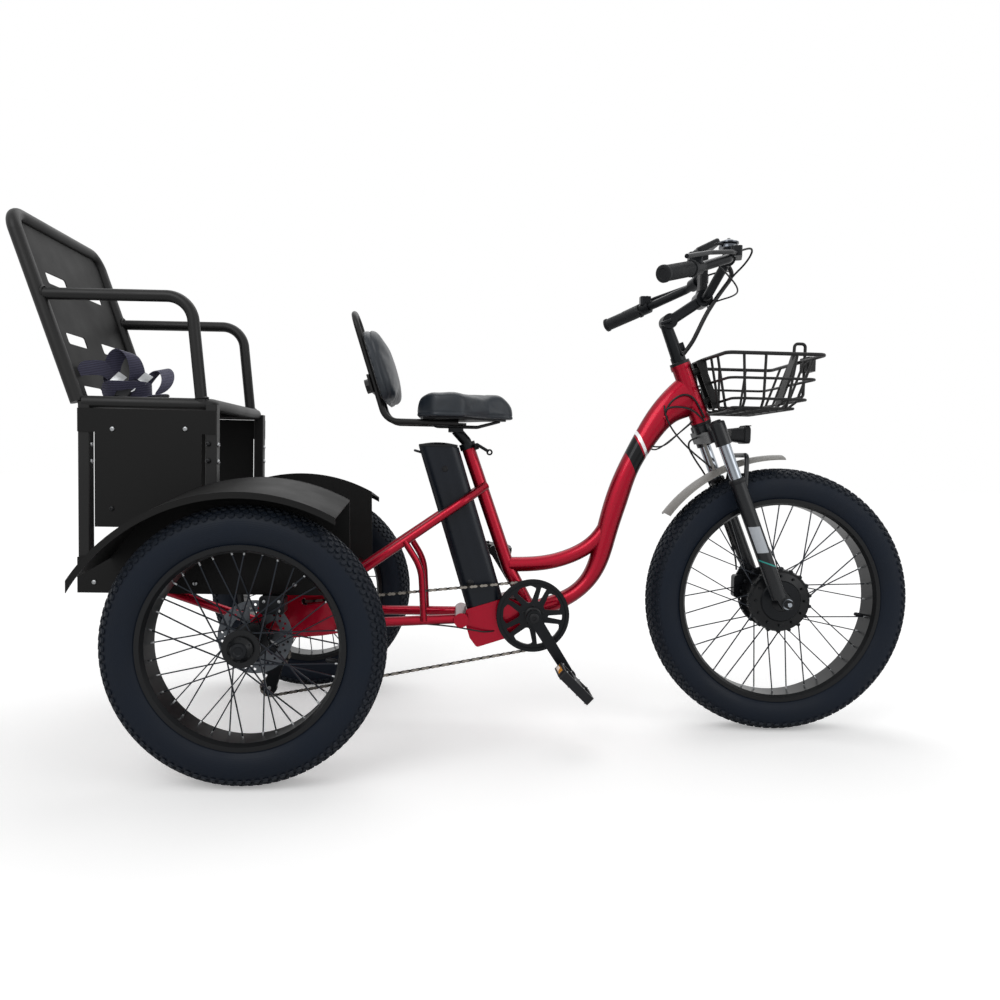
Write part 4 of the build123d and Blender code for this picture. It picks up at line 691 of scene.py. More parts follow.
# brake discs: drilled rings on windowed spiders
discSet = {"radius": 80, "thick": 2.4, "bore": 17, "windowRadius": 43, "holes": 22, "holeRows": ((70.5, 0), (63, 7)),
           "window": [(-11, -12), (11, -12), (17, 8), (9, 12), (-12, 12)], "frontCarrier": 28, "rearCarrier": 24}
inner, outer, face = discSet["bore"], discSet["radius"], discSet["thick"] / 2
discPlate = lathed("disc", [(inner, -face), (outer, -face), (outer, face), (inner, face)],
                   Vector(), (0, 1, 0), 96, closed=True)
window = plateOf("window", discSet["window"], Vector((0, 0.006, discSet["windowRadius"] / 1000)),
                 12, (1, 0, 0), (0, 0, 1), 3)
discPlate = cutBy(discPlate, ringOf(window, 6, Vector()))
for radius, turn in discSet["holeRows"]:
    spin = radians(turn)
    seat = Vector((sin(spin), 0, cos(spin))) * radius / 1000
    hole = rod("hole", seat - sideways * 0.005, seat + sideways * 0.005, 6.2, 10, 0)
    discPlate = cutBy(discPlate, ringOf(hole, discSet["holes"], Vector()))
for name, node, hub, body, finishName, hubSide in (
    ("frontDisc", "front_rotor", frontHub, "front_wheel_set", "rotorFront", 1),
    ("rightDisc", "rear_rotor_right", rightHub, "right_wheel_set", "rotorRear", 1),
    ("leftDisc", "rear_rotor_left", leftHub, "left_wheel_set", "rotorRear", -1),
):
    low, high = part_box(node)
    outer = (high if hubSide > 0 else low).y - hubSide * discSet["thick"] / 2000
    inner = (low if hubSide > 0 else high).y
    centre = Vector((hub.x, outer, hub.z))
    disc = copiesAt(name, discPlate.copy(), [Matrix.Translation(centre)])
    depth = (outer - inner) * 1000 * hubSide
    carrier = discSet["frontCarrier" if node == "front_rotor" else "rearCarrier"]
    boss = lathed("boss", [(discSet["bore"], 0.4), (carrier, 0.4), (carrier - 1, depth), (discSet["bore"], depth)],
                  centre, (0, -hubSide, 0), 48, closed=True)
    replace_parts(fit(name, [disc, boss], body, finishName, "rotor_steel"), node)
    seat = centre + Vector((0, 0, 0.021))
    bolts = ringOf(rod("bolt", seat - sideways * 0.0034, seat + sideways * 0.0034, 5.6, 12, 0.5), 6, hub)
    fit(name + "Bolts", [bolts], body, "zinc", "rotor_steel")
bpy.data.objects.remove(discPlate)
print("wheel fittings ready")

# chain: links stepped along the run over the two sprockets and the two pulleys
chainSet = {"pitch": 12.7, "ringTeeth": 42, "cogTeeth": 14, "pulley": 22, "guide": (4, 196), "tension": (-22, 114),
            "plate": (19.6, 7.8, 1.1), "roller": 7.2}


def pitchRadius(teeth):
    return chainSet["pitch"] / (2 * sin(pi / teeth))


def chainPins():
    # each wheel is its centre, radius and the sense in which the chain goes round it
    wheels = [
        (0, trike["rearRadius"], pitchRadius(chainSet["cogTeeth"]), -1),
        (*trike["bottomBracket"], pitchRadius(chainSet["ringTeeth"]), -1),
        (*chainSet["tension"], chainSet["pulley"], -1), (*chainSet["guide"], chainSet["pulley"], 1),
    ]
    headings = []
    for here, there in zip(wheels, wheels[1:] + wheels[:1]):
        dx, dz = there[0] - here[0], there[1] - here[1]
        headings.append(atan2(dz, dx) - asin((there[3] * there[2] - here[3] * here[2]) / hypot(dx, dz)))
    places = []
    for number, (x, z, radius, sense) in enumerate(wheels):
        arrive, leave = headings[number - 1], headings[number]
        sweep = (leave - arrive) * sense % (2 * pi)
        count = max(2, ceil(radius * sweep))
        for part in range(count + 1):
            heading = arrive + sense * sweep * part / count
            places.append((x + sense * radius * sin(heading), z - sense * radius * cos(heading)))
    places.append(places[0])
    lengths = [hypot(b[0] - a[0], b[1] - a[1]) for a, b in zip(places, places[1:])]
    links = 2 * round(sum(lengths) / chainSet["pitch"] / 2)
    pins, number, passed = [], 0, 0.0
    for link in range(links):
        goal = link * sum(lengths) / links
        while passed + lengths[number] < goal:
            passed += lengths[number]
            number += 1
        share = (goal - passed) / lengths[number]
        a, b = places[number], places[number + 1]
        pins.append((a[0] + (b[0] - a[0]) * share, a[1] + (b[1] - a[1]) * share))
    return pins


pins = chainPins()
chainRows = []
for kind in (0, 1):                                # outer links, then inner links with their rollers
    parts = []
    length, tall, thick = chainSet["plate"]
    for side in (1, -1):
        away = side * (3.5 if kind == 0 else 2.3)
        deselectAll()
        bpy.ops.mesh.primitive_cylinder_add(vertices=12, radius=0.5, depth=1)
        plate = bpy.context.object
        plate.matrix_world = Matrix.Translation(sideways * away / 1000) @ turnTo(sideways) @ sized(length, tall, thick)
        bakePlace(plate)
        bpy.ops.object.mode_set(mode="EDIT")
        bpy.ops.mesh.select_all(action="DESELECT")
        bpy.ops.object.mode_set(mode="OBJECT")
        for vertex in plate.data.vertices:         # the waist of the plate
            vertex.select = abs(vertex.co.x) < 0.001
        bpy.ops.object.mode_set(mode="EDIT")
        bpy.ops.transform.resize(value=(1, 1, 0.55), center_override=(0, 0, 0))
        bpy.ops.object.mode_set(mode="OBJECT")
        parts.append(plate)
    across = 4.3 if kind == 0 else 1.8
    for end in (-chainSet["pitch"] / 2, chainSet["pitch"] / 2):
        thickness = 3.6 if kind == 0 else chainSet["roller"]
        parts.append(rod("pin", Vector((end, -across, 0)) / 1000, Vector((end, across, 0)) / 1000, thickness, 10, 0))
    placings = []
    for number in range(kind, len(pins), 2):
        here, there = pins[number], pins[(number + 1) % len(pins)]
        middle = ahead((here[0] + there[0]) / 2, -trike["chainSide"], (here[1] + there[1]) / 2)
        slant = atan2(there[1] - here[1], there[0] - here[0])
        placings.append(Matrix.Translation(middle) @ Matrix.Rotation(-slant, 4, "Y"))
    row = copiesAt("links", joined("link", parts), placings)
    row.data.materials.clear()
    # inner links and rollers get the steel with painted shade
    row.data.materials.append(mats["oiledShaded" if kind else "oiled"])
    chainRows.append(row)
rollerChain = bakePlace(smooth(joined("rollerChain", chainRows)))
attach(rollerChain, "chassis")
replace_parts(rollerChain, "chain")
print("chain ready,", len(pins), "links")

# crank set: windowed guard with its lip and toothed ring, bolts, arm caps, pedal reflectors and pins
crankSet = {
    "turn": -57, "arm": 170, "pedalSide": 165, "rightTilt": -44, "leftTilt": -10, "windows": 5, "windowTurn": 33,
    "guard": [(11, 64), (90, 64), (91, 65), (91, 70), (90, 71), (82, 71), (81, 69), (36, 68.6), (30, 70), (11, 70)],
    "petal": [(33, -4), (33, 4), (64, 25), (74, 13), (74, -13), (64, -25)],
    "slit": [(38, -2.4), (38, 2.4), (73, 7), (73, -7)],
}
guard = lathed("guard", crankSet["guard"], crankHub, (0, -1, 0), 96, closed=True)
for shape, turn, corner in (("petal", 0, 4), ("slit", 36, 2)):
    spin = radians(crankSet["windowTurn"] + turn)
    along, square = Vector((cos(spin), 0, sin(spin))), Vector((-sin(spin), 0, cos(spin)))
    opening = plateOf(shape, crankSet[shape], crankHub - sideways * 0.055, 22, along, square, corner)
    guard = cutBy(guard, ringOf(opening, crankSet["windows"], crankHub))
rounded(guard, 0.8)
ringRadius = pitchRadius(chainSet["ringTeeth"])
toothFoot = ringRadius - 3.4
sprocket = lathed("sprocket", [(74, 58.8), (toothFoot, 58.8), (toothFoot, 61.2), (78, 61.2), (78, 64.2), (74, 64.2)],
                  crankHub, (0, -1, 0), 96, closed=True)
tooth = block("tooth", crankHub + Vector((0, -0.060, ringRadius / 1000 - 0.0016)), (2.2, 5.6, 6.4), edge=0)
chainwheel = joined("chainwheel", [smooth(guard), sprocket, ringOf(tooth, chainSet["ringTeeth"], crankHub)])
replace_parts(place(chainwheel, "crankset", "anodised", "black_aluminium"), "chainring")
drive = [lathed("boss", [(21, 69.8), (21, 72), (18, 74), (13, 74)], crankHub, (0, -1, 0), 40)]
seat = crankHub + Vector((0, -0.0695, 0.0255))
drive.append(ringOf(rod("bolt", seat, seat + Vector((0, -0.0025, 0)), 7, 16, 0.7), 5, crankHub))
fit("chainringBolts", drive, "crankset", "blackSteel", "black_aluminium")
caps = []
for side in (-1, 1):
    caps.append(lathed("cap", [(12.2, 103), (12.2, 106.4), (9.5, 108), (5, 108), (4.2, 106), (0.1, 106)],
                       crankHub, (0, side, 0), 32))
fit("crankCaps", caps, "crankset", "plastic", "black_aluminium")
for name, side in (("right", -1), ("left", 1)):
    body = name + "_pedal"
    turn, tilt = radians(crankSet["turn"] + (180 if side > 0 else 0)), radians(crankSet[name + "Tilt"])
    axle = crankHub + Vector((cos(turn), 0, sin(turn))) * crankSet["arm"] / 1000
    axle += sideways * side * crankSet["pedalSide"] / 1000
    along = Vector((cos(tilt), 0, sin(tilt)))
    square = Vector((-along.z, 0, along.x))
    reflectors = [block("reflector", axle + along * 0.0486 * end, (50, 4, 12), square, 0.8) for end in (1, -1)]
    fit(name + "Reflectors", reflectors, body, "amber", "black_plastic")
    studs = []
    for face in (1, -1):
        for end, out in product((-41, -14, 14, 41), (-36, 36)):
            foot = axle + (along * end + sideways * out + square * face * 10) / 1000
            studs.append(rod("stud", foot, foot + square * face * 0.0032, 4, 8, 0.4))
    fit(name + "Studs", studs, body, "zinc", "black_plastic")
print("crank set ready")

# saddle and backrest pad: vinyl over foam, swelled by air pressure from a smoothed copy of the solid
paddedSet = {"voxel": 0.005, "pressure": 4.0, "frames": 20}


def markGroup(pad, name, chosen):
    group = pad.vertex_groups.new(name=name)
    group.add([vertex.index for vertex in pad.data.vertices if chosen(vertex.co)], 1.0, "REPLACE")


def puffed(name, nodeName, held, cap, smoothing):   # held stays put, the rest swells by up to cap
    pad = nodes[nodeName].copy()
    pad.data = nodes[nodeName].data.copy()
    pad.parent = None
    pad.name = name
    scene.collection.objects.link(pad)
    pad.matrix_world = Matrix.Identity(4)
    pad.hide_render = pad.hide_viewport = False
    tidyShell(pad, 0.00005)
    modify(pad, "REMESH", mode="VOXEL", voxel_size=paddedSet["voxel"])
    markGroup(pad, "loose", lambda co: not held(co))
    modify(pad, "SMOOTH", factor=0.5, iterations=smoothing, vertex_group="loose")
    start = [vertex.co.copy() for vertex in pad.data.vertices]
    markGroup(pad, "held", held)
    cloth = pad.modifiers.new("cloth", "CLOTH")
    cloth.settings.use_pressure = True
    cloth.settings.uniform_pressure_force = paddedSet["pressure"]
    cloth.settings.vertex_group_mass = "held"
    cloth.settings.effector_weights.gravity = 0
    cloth.settings.tension_stiffness = 12
    cloth.settings.quality = 6
    for number in range(1, paddedSet["frames"] + 1):
        scene.frame_set(number)
    shaped = pad.evaluated_get(bpy.context.evaluated_depsgraph_get()).data
    moved = [vertex.co.copy() for vertex in shaped.vertices]
    pad.modifiers.remove(cloth)
    scene.frame_set(1)
    for vertex, before, after in zip(pad.data.vertices, start, moved):
        shift = after - before
        vertex.co = before + shift * min(1, cap / max(shift.length, 1e-9))
    modify(pad, "SMOOTH", factor=0.5, iterations=4, vertex_group="loose")
    modify(pad, "SUBSURF", levels=1, render_levels=1)
    return pad


def fitBack(pad, nodeName, axes):                  # stretches a smoothed pad back to its solid's size
    solid = [vertex.co for vertex in nodes[nodeName].data.vertices]
    for axis in axes:
        near, far = min(co.dot(axis) for co in solid), max(co.dot(axis) for co in solid)
        reach = [vertex.co.dot(axis) for vertex in pad.data.vertices]
        low, high = min(reach), max(reach)
        for vertex, along in zip(pad.data.vertices, reach):
            vertex.co += axis * (near + (along - low) * (far - near) / (high - low) - along)


def seam(pad, origin, direction, depth, width, keep):   # a sewn line pressed into the surface across a direction
    normals = [vertex.normal.copy() for vertex in pad.data.vertices]
    for vertex, normal in zip(pad.data.vertices, normals):
        if keep(vertex.co, normal):
            away = (vertex.co - origin).dot(direction)
            vertex.co -= normal * depth * exp(-(away / width) ** 2)


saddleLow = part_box("saddle")[0]
saddle = puffed("saddleCover", "saddle", lambda co: co.z < saddleLow.z + 0.006, 0.006, 40)
fitBack(saddle, "saddle", (Vector((1, 0, 0)), sideways, Vector((0, 0, 1))))
crown = {"lift": ((2, 16, 13), (30, 24, 8), (90, 44, 3), (148, 24, 6), (208, 30, 10)), "foot": 14, "height": 34}
for vertex in saddle.data.vertices:                # fuller over the tail, the dip and the nose, flat on its shell
    along, above = (vertex.co.x - saddleLow.x) * 1000, (vertex.co.z - saddleLow.z) * 1000
    share = min(1, max(0, (above - crown["foot"]) / crown["height"]))
    rise = sum(lift * exp(-((along - middle) / width) ** 2) for middle, width, lift in crown["lift"])
    vertex.co.z = max(vertex.co.z + rise * share * (2 - share) / 1000, saddleLow.z + 0.0002)
dip = Vector((saddleLow.x + 0.150, 0, 0))
seam(saddle, dip, Vector((1, 0, 0.22)).normalized(), 0.005, 0.010, lambda co, n: co.z > saddleLow.z + 0.010)
seam(saddle, dip, sideways, 0.004, 0.011, lambda co, n: n.z > 0.4 and co.x < dip.x + 0.02)
seam(saddle, Vector((0, 0, saddleLow.z + 0.009)), Vector((0, 0, 1)), 0.0012, 0.002, lambda co, n: abs(n.z) < 0.8)
saddle = place(smooth(saddle, 80), "chassis", "vinyl", "seat_vinyl")
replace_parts(saddle, "saddle")

backUp = (ahead(168, 0, 1040) - ahead(252, 0, 775.3)).normalized()
backAhead = Vector((backUp.z, 0, -backUp.x))
padBack = min(vertex.co.dot(backAhead) for vertex in nodes["backrest_pad"].data.vertices)
backPad = puffed("backrestCover", "backrest_pad", lambda co: co.dot(backAhead) < padBack + 0.004, 0.010, 110)
fitBack(backPad, "backrest_pad", (backAhead, backUp, sideways))
for vertex in backPad.data.vertices:
    short = padBack + 0.0002 - vertex.co.dot(backAhead)
    if short > 0:
        vertex.co += backAhead * short
seam(backPad, backAhead * (padBack + 0.015), backAhead, 0.002, 0.0026, lambda co, n: abs(n.dot(backAhead)) < 0.8)
backPad = place(smooth(backPad, 80), "chassis", "vinyl", "seat_vinyl")
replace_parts(backPad, "backrest_pad")
middle = sum(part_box("backrest_pad"), Vector()) / 2
middle += backAhead * (padBack - 0.0013 - middle.dot(backAhead))
padShell = rounded(block("padShell", middle, (236, 150, 3), backAhead, 0), 1.0, 2, 30)
place(padShell, "chassis", "plastic", "black_plastic")
print("saddle and pad ready")

# seat belt: webbing standing in loops on the bench, with its buckles
beltSet = {"thickness": 1.8}


def strap(name, path, across, width):
    half = Vector(across).normalized() * width / 2000
    obj = drawn(name, [ahead(*point) - half for point in path])
    bpy.ops.mesh.extrude_edges_move(TRANSFORM_OT_translate={"value": half * 2})
    bpy.ops.object.mode_set(mode="OBJECT")
    modify(obj, "SUBSURF", levels=3, render_levels=3)
    modify(obj, "SOLIDIFY", thickness=beltSet["thickness"] / 1000, offset=0)
    return smooth(tidyShell(obj), 50)


straps = [
    strap("loop", [(-398, -60, 822), (-402, -66, 862), (-392, -74, 906), (-368, -78, 930), (-346, -72, 916),
                   (-338, -60, 876), (-350, -50, 838), (-372, -44, 824)], (0.62, 0.75, -0.2), 40),
    strap("backLoop", [(-352, -30, 824), (-336, -10, 862), (-312, 6, 898), (-290, 2, 884), (-284, -20, 852),
                       (-300, -40, 826)], (0.5, 0.8, 0.25), 38),
    strap("tail", [(-446, -142, 868), (-436, -132, 878), (-424, -112, 880), (-408, -92, 884), (-398, -72, 872),
                   (-394, -60, 846), (-392, -50, 826)], (0.1, 0.15, 1), 36),
    strap("fold", [(-410, -96, 830), (-384, -112, 834), (-352, -106, 832), (-322, -86, 836), (-306, -60, 832),
                   (-318, -30, 828), (-352, -12, 826)], (0.1, -0.35, 1), 40),
    strap("flat", [(-330, -90, 812), (-306, -60, 818), (-296, -26, 822), (-306, 8, 816), (-340, 26, 812)],
          (0.8, 0.2, 0.4), 38),
]
beltStraps = fit("beltStraps", straps, "chassis", "webbing", "belt_webbing")
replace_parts(beltStraps, "seat_belt")
buckle = [
    block("tongue", ahead(-374, -92, 856), (34, 24, 3), (0.25, -0.9, 0.35), 0.8),
    block("tongue", ahead(-318, -72, 862), (28, 22, 3), (0.3, -0.8, 0.5), 0.8),
    lathed("ring", [(9, -1.6), (12, -1.6), (12, 1.6), (9, 1.6)], ahead(-344, -96, 838), (0.3, -0.9, 0.3), 28,
           closed=True),
]
fit("beltMetal", buckle, "chassis", "zinc", "belt_webbing")
case = block("beltBuckle", ahead(-356, -98, 828), (46, 30, 15), (0.1, -0.75, 0.65), 3.5, 3)
place(case, "chassis", "plastic", "belt_webbing")
print("belt ready")

# cables and hoses, held at both ends
cableSet = {"harness": 11, "brake": 5, "shift": 5, "sensor": 4}
cupSide = 29.2                         # clears the lower cup by a cable's thickness
harness = softLine("harness", [
    cockpit(40, -38, 92), cockpit(58, -40, 72), cockpit(62, -41, 50), cockpit(40, -40, 20), cockpit(12, -40, -22),
    cockpit(-4, -38, -52), steer(58, -34, 716), steer(36, -27, 694), steer(11, -19, 678)], cableSet["harness"], 5)
leg = trike["legSide"]
brakeHose = softLine("brakeHose", [
    steer(-10, 34, 462), steer(-30, 38, 466), steer(-40, 50, 448), steer(-28, 66, 404), steer(-14.8, leg, 366),
    steer(-10, leg, 330), steer(-9.6, leg, 280), steer(-9.6, leg, 190), steer(-9.6, leg, 124),
    steer(-26, leg - 16, 92)], cableSet["brake"])
leverHoses = [
    softLine("rightLever", [cockpit(50, -128, 92), cockpit(80, -114, 106), cockpit(94, -92, 100), cockpit(84, -68, 76),
                            cockpit(62, -48, 52), cockpit(50, -42, 34)], cableSet["brake"]),
    softLine("leftLever", [cockpit(50, 128, 92), cockpit(76, 104, 98), cockpit(84, 50, 88), cockpit(76, -8, 66),
                           cockpit(62, -34, 46), cockpit(46, -40, 26)], cableSet["brake"]),
    softLine("gearLine", [cockpit(-34, -206, 44), cockpit(10, -196, 10), cockpit(44, -150, -8), cockpit(48, -90, -8),
                          cockpit(34, -52, -8), cockpit(17, -41, -14)], cableSet["sensor"]),
]
steeringLines = fit("steeringLines", [harness, brakeHose, *leverHoses], "steering", "cable", "cable_black")
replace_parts(steeringLines, "steering_cables")
frameLines = [
    softLine("upperLoop", [steer(-87, -22, 549), steer(-76, -27, 568), steer(-52, -32, 582), steer(-22, -33, 584),
                           steer(0, -31, 560), steer(4, -cupSide, 508)], cableSet["shift"]),
    softLine("lowerLoop", [steer(-89, -22, 541), steer(-86, -30, 560), steer(-72, -36, 566), steer(-44, -36, 556),
                           steer(-14, -33, 536), steer(0, -cupSide, 502)], cableSet["shift"]),
    softLine("rightLow", [steer(-160, -10, 500), steer(-138, -19, 482), steer(-112, -24, 478), steer(-70, -18, 494),
                          steer(-24, -10, 510)], cableSet["sensor"]),
    softLine("leftLow", [steer(-160, 10, 500), steer(-140, 20, 476), steer(-118, 26, 472), steer(-70, 19, 488),
                         steer(-24, 10, 505)], cableSet["sensor"]),
]
frameLines = fit("frameLines", frameLines, "chassis", "cable", "cable_black")
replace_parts(frameLines, "frame_cables")
bossLine = softLine("bossLine", [
    ahead(950, -22, 832), ahead(950, -30, 812), ahead(962, -30, 784), ahead(982, -28, 757), ahead(1020, -20, 721),
    ahead(1068, -6, 688), ahead(1108, 10, 660), ahead(1130, 34, 640), steer(-26, 64, 330), steer(-12, 74, 300)], 4.6)
bakePlace(bossLine)
bossLine.data.materials.append(mats["cable"])
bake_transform(bossLine)
stayLines = softLine("stayLines", [
    ahead(560, -26, 262), ahead(520, -50, 252), ahead(470, -60, 262), ahead(420, -64, 272), ahead(300, -66, 280),
    ahead(160, -68, 276), ahead(70, -72, 262), ahead(16, -74, 232)], 4)
place(stayLines, "chassis", "cable", "cable_black")
print("cables ready")

# cockpit: ribbed grips, display screen, lever and bell details
cockpitSet = {"gripRibs": 17, "ribPitch": 5.4}


def gripEnds(side):                    # the bar's end and its elbow, on either side
    return cockpit(-180, side * 325, -14), cockpit(-66, side * 220, 30)


ribs, plugs = [], []
for side in (-1, 1):
    tip, elbow = gripEnds(side)
    inward = (elbow - tip).normalized()
    for number in range(cockpitSet["gripRibs"]):
        start = 8 + number * cockpitSet["ribPitch"]
        rib = [(16.3, start), (17.3, start + 0.9), (17.3, start + 2.4), (16.3, start + 3.3)]
        ribs.append(lathed("rib", rib, tip, inward, 28))
    plugs.append(lathed("plug", [(18.4, -4.6), (16.5, -6.6), (12, -7), (10.5, -5.4), (0.1, -5.4)], tip, inward, 32))
fit("gripRibs", ribs, "steering", "grip", "grip_rubber")
fit("gripPlugs", plugs, "steering", "plastic", "grip_rubber")

facing = Vector((-0.45, 0, 0.89)).normalized()
headMiddle = cockpit(6, 0, 120)
screen = block("screen", headMiddle + facing * 0.0164, (64, 42, 1.2), facing, 0.5)
place(screen, "steering", "screen", "black_plastic")
slope = Vector((facing.z, 0, -facing.x))
keys = [block("key", headMiddle + facing * 0.0165 - slope * 0.0245 + sideways * out / 1000, (13, 4.5, 1.6), facing, 0.6)
        for out in (-22, 0, 22)]
for side in (-1, 1):
    tip, elbow = gripEnds(side)
    outward = (tip - elbow).normalized()
    pod = elbow + outward * 0.033 + Vector((-0.002, 0, 0.0325))
    keys.append(block("key", pod + Vector((0.004, side * -0.006, 0)), (8, 6, 2.4), (0, 0, 1), 0.8))
    keys.append(block("key", pod + Vector((-0.006, side * 0.005, 0)), (8, 6, 2.4), (0, 0, 1), 0.8))
    keys.append(block("thumb", elbow + outward * 0.031 - Vector((0.018, 0, 0.012)), (12, 26, 5), (0.3, 0, 1), 1.6))
fit("controlKeys", keys, "steering", "plastic", "black_plastic")

metalBits = []
for side in (-1, 1):
    body = cockpit(36, side * 143, 95.4)
    for out in (-15, 15):
        seat = body + Vector((4, out, 0)) / 1000
        metalBits.append(rod("screw", seat, seat + Vector((0, 0, 0.0018)), 5, 12, 0.4))
    metalBits.append(rod("pivot", cockpit(26, side * 160, 70), cockpit(26, side * 160, 97), 6, 12, 0.6))
for out, above in product((-17, 17), (-14, 14)):
    seat = cockpit(19, out, above)
    metalBits.append(rod("screw", seat, seat + Vector((0.0038, 0, 0)), 5.5, 12, 0.5))
fit("cockpitScrews", metalBits, "steering", "zinc", "chrome")

bellFoot = cockpit(30, -102, 77)
along = Vector((-26, -84, -18)).normalized()
dome = bellFoot + along * -0.005 + Vector((0, 0, 0.038))
bellBits = [
    lathed("knob", [(0.1, 13), (3.6, 13), (4.4, 11.4), (4.4, 10)], dome, (0, 0, 1), 20),
    block("hammer", dome + Vector((-0.027, -0.012, -0.004)), (7, 20, 5), (0, 0, 1), 1.6),
]
fit("bellBits", bellBits, "steering", "plastic", "black_plastic")

lamp = steer(78.5, 0, 435)
lens = block("lampGlass", lamp + Vector((0.0165, 0, 0)), (48.6, 34.6, 5), (1, 0, 0), 2.2, 3)
place(lens, "steering", "lens", "silver")
hood = block("lampHood", lamp + Vector((0.020, 0, 0.0235)), (48, 2.4, 14), (1, 0, 0), 0.8)
place(hood, "steering", "plastic", "black_plastic")
print("cockpit ready")

# fork: dust seals, crown caps, axle nuts and washers
forkSet = {"seal": 338, "crownTop": 488, "hoseClip": (-10, 78, 146), "headTop": (0, 0, 656), "headFoot": (0, 0, 500)}
forkBits, forkMetal = [], []
for side in (-1, 1):
    seal = steer(trike["legLead"], side * trike["legSide"], forkSet["seal"])
    forkBits.append(lathed("seal", [(19.6, -8), (20.4, -5), (20.4, 0), (18.4, 3.4), (15.3, 4.6)], seal, steerUp, 40))
    top = steer(trike["legLead"], side * trike["legSide"], forkSet["crownTop"])
    forkBits.append(lathed("cap", [(19.6, 0), (18.6, 2), (13, 3.2), (12, 6.6), (9.5, 7.6), (0.1, 7.6)],
                           top, steerUp, 36))
    outward = sideways * side
    inside, nut = frontHub + outward * 0.0725, frontHub + outward * 0.0845
    forkMetal.append(lathed("washer", [(12, 11.6), (13.6, 11.6), (13.6, 13.2), (7.2, 13.2)], inside, outward, 32))
    forkMetal.append(rod("nut", nut + outward * 0.0015, nut + outward * 0.0105, 20, 6, 1.0))
    forkMetal.append(lathed("end", [(6.8, 10), (6.8, 12.4), (5, 14), (0.1, 14)], nut, outward, 24))
forkBits.append(block("hoseClip", steer(*forkSet["hoseClip"]), (12, 9, 10), steerAhead, 1.4))
fit("forkSeals", forkBits, "steering", "plastic", "fork_black")
fit("axleNuts", forkMetal, "steering", "chrome", "chrome")

headCups = [
    lathed("headCup", [(24.4, -1), (25.6, 0), (25.6, 7), (24.4, 8)], steer(*forkSet["headTop"]), steerUp, 48),
    lathed("headCup", [(24.4, -8), (25.6, -7), (25.6, 0), (24.4, 1)], steer(*forkSet["headFoot"]), steerUp, 48),
]
fit("headCups", headCups, "chassis", "blackSteel", "black_aluminium")
print("fork ready")

# bench back: pressed sheet with its hand slots
backSet = {"foot": (-421, 801), "head": (-557, 1207), "size": (192.7, 205.4), "middle": 207.4, "thick": 3,
           "rows": (24, 151, 294), "slot": (46, 13.5), "apart": 90}
slopeFoot = ahead(backSet["foot"][0], 0, backSet["foot"][1])
slopeUp = (ahead(backSet["head"][0], 0, backSet["head"][1]) - slopeFoot).normalized()
slopeAhead = Vector((slopeUp.z, 0, -slopeUp.x))


def oblong(x, y, wide, tall):          # the corners of a rectangle round its middle, from its half sizes
    return [(x - wide, y - tall), (x + wide, y - tall), (x + wide, y + tall), (x - wide, y + tall)]


backSheet = plateOf("backSheet", oblong(0, backSet["middle"], *backSet["size"]), slopeFoot - slopeAhead * 0.0015,
                    backSet["thick"], sideways, slopeUp, 32)
for row, side in product(backSet["rows"], (-1, 1)):
    slotCut = plateOf("slotCut", oblong(side * backSet["apart"], row, *backSet["slot"]),
                      slopeFoot - slopeAhead * 0.006, 12, sideways, slopeUp, 6)
    backSheet = cutBy(backSheet, slotCut)
rounded(backSheet, 0.6)
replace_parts(place(smooth(backSheet), "chassis", "sheet", "black_paint"), "bench_back_panel")

# bench: screws through the aprons, legs, sheets and skirts, and weld beads at the arms' ends
benchSet = {
    "head": [(5.6, 0), (5.6, 0.8), (4.6, 2.6), (2.4, 3.6), (2, 2.6), (0.1, 2.6)],
    # each row: its side, forward 1, back -1 or outward 0, the steps of the head, and where the screws stand
    "bright": [
        (222.6, 0, 24, ((-331, 736), (-173, 739.5))),
        (208, 1, 20, ((-382.5, 702), (-382.5, 664.5))),
        (208, -1, 20, ((-407.5, 699), (-407.5, 664), (-407.5, 442), (-407.5, 404))),
        (208, 1, 20, ((-105.5, 706), (-105.5, 668), (-105.5, 560))),
        (226.2, 0, 20, ((-370, 396), (-150, 396), (70, 396))),
    ],
    "dark": [(222.6, 0, 20, ((-123.5, 707.5), (-123.5, 670), (-333, 560), (-160, 560)))],
    "bead": [(13.4, -2.4), (15.6, -0.6), (15.6, 1), (13.4, 2.8)],
}
for kind, name, finishName, slotName in (("dark", "benchDarkScrews", "blackSteel", "black_steel_tube"),
                                         ("bright", "benchScrews", "zinc", "silver")):
    screws = []
    for side in (-1, 1):
        for far, facing, steps, spots in benchSet[kind]:
            direction = (facing, 0, 0) if facing else (0, side, 0)
            for x, z in spots:
                seat = ahead(x - 0.2 * facing, side * far, z)
                screws.append(lathed("screw", benchSet["head"], seat, direction, steps))
    fit(name, screws, "chassis", finishName, slotName)
beads = []
for side in (-1, 1):
    beads.append(lathed("bead", benchSet["bead"], ahead(-142, side * 208, 809), (-0.1, 0, 1), 36))
    beads.append(lathed("bead", benchSet["bead"], ahead(-484.5, side * 208, 1033), (1, 0, 0.01), 36))
fit("benchBeads", beads, "chassis", "powder", "black_steel_tube")
print("bench ready")

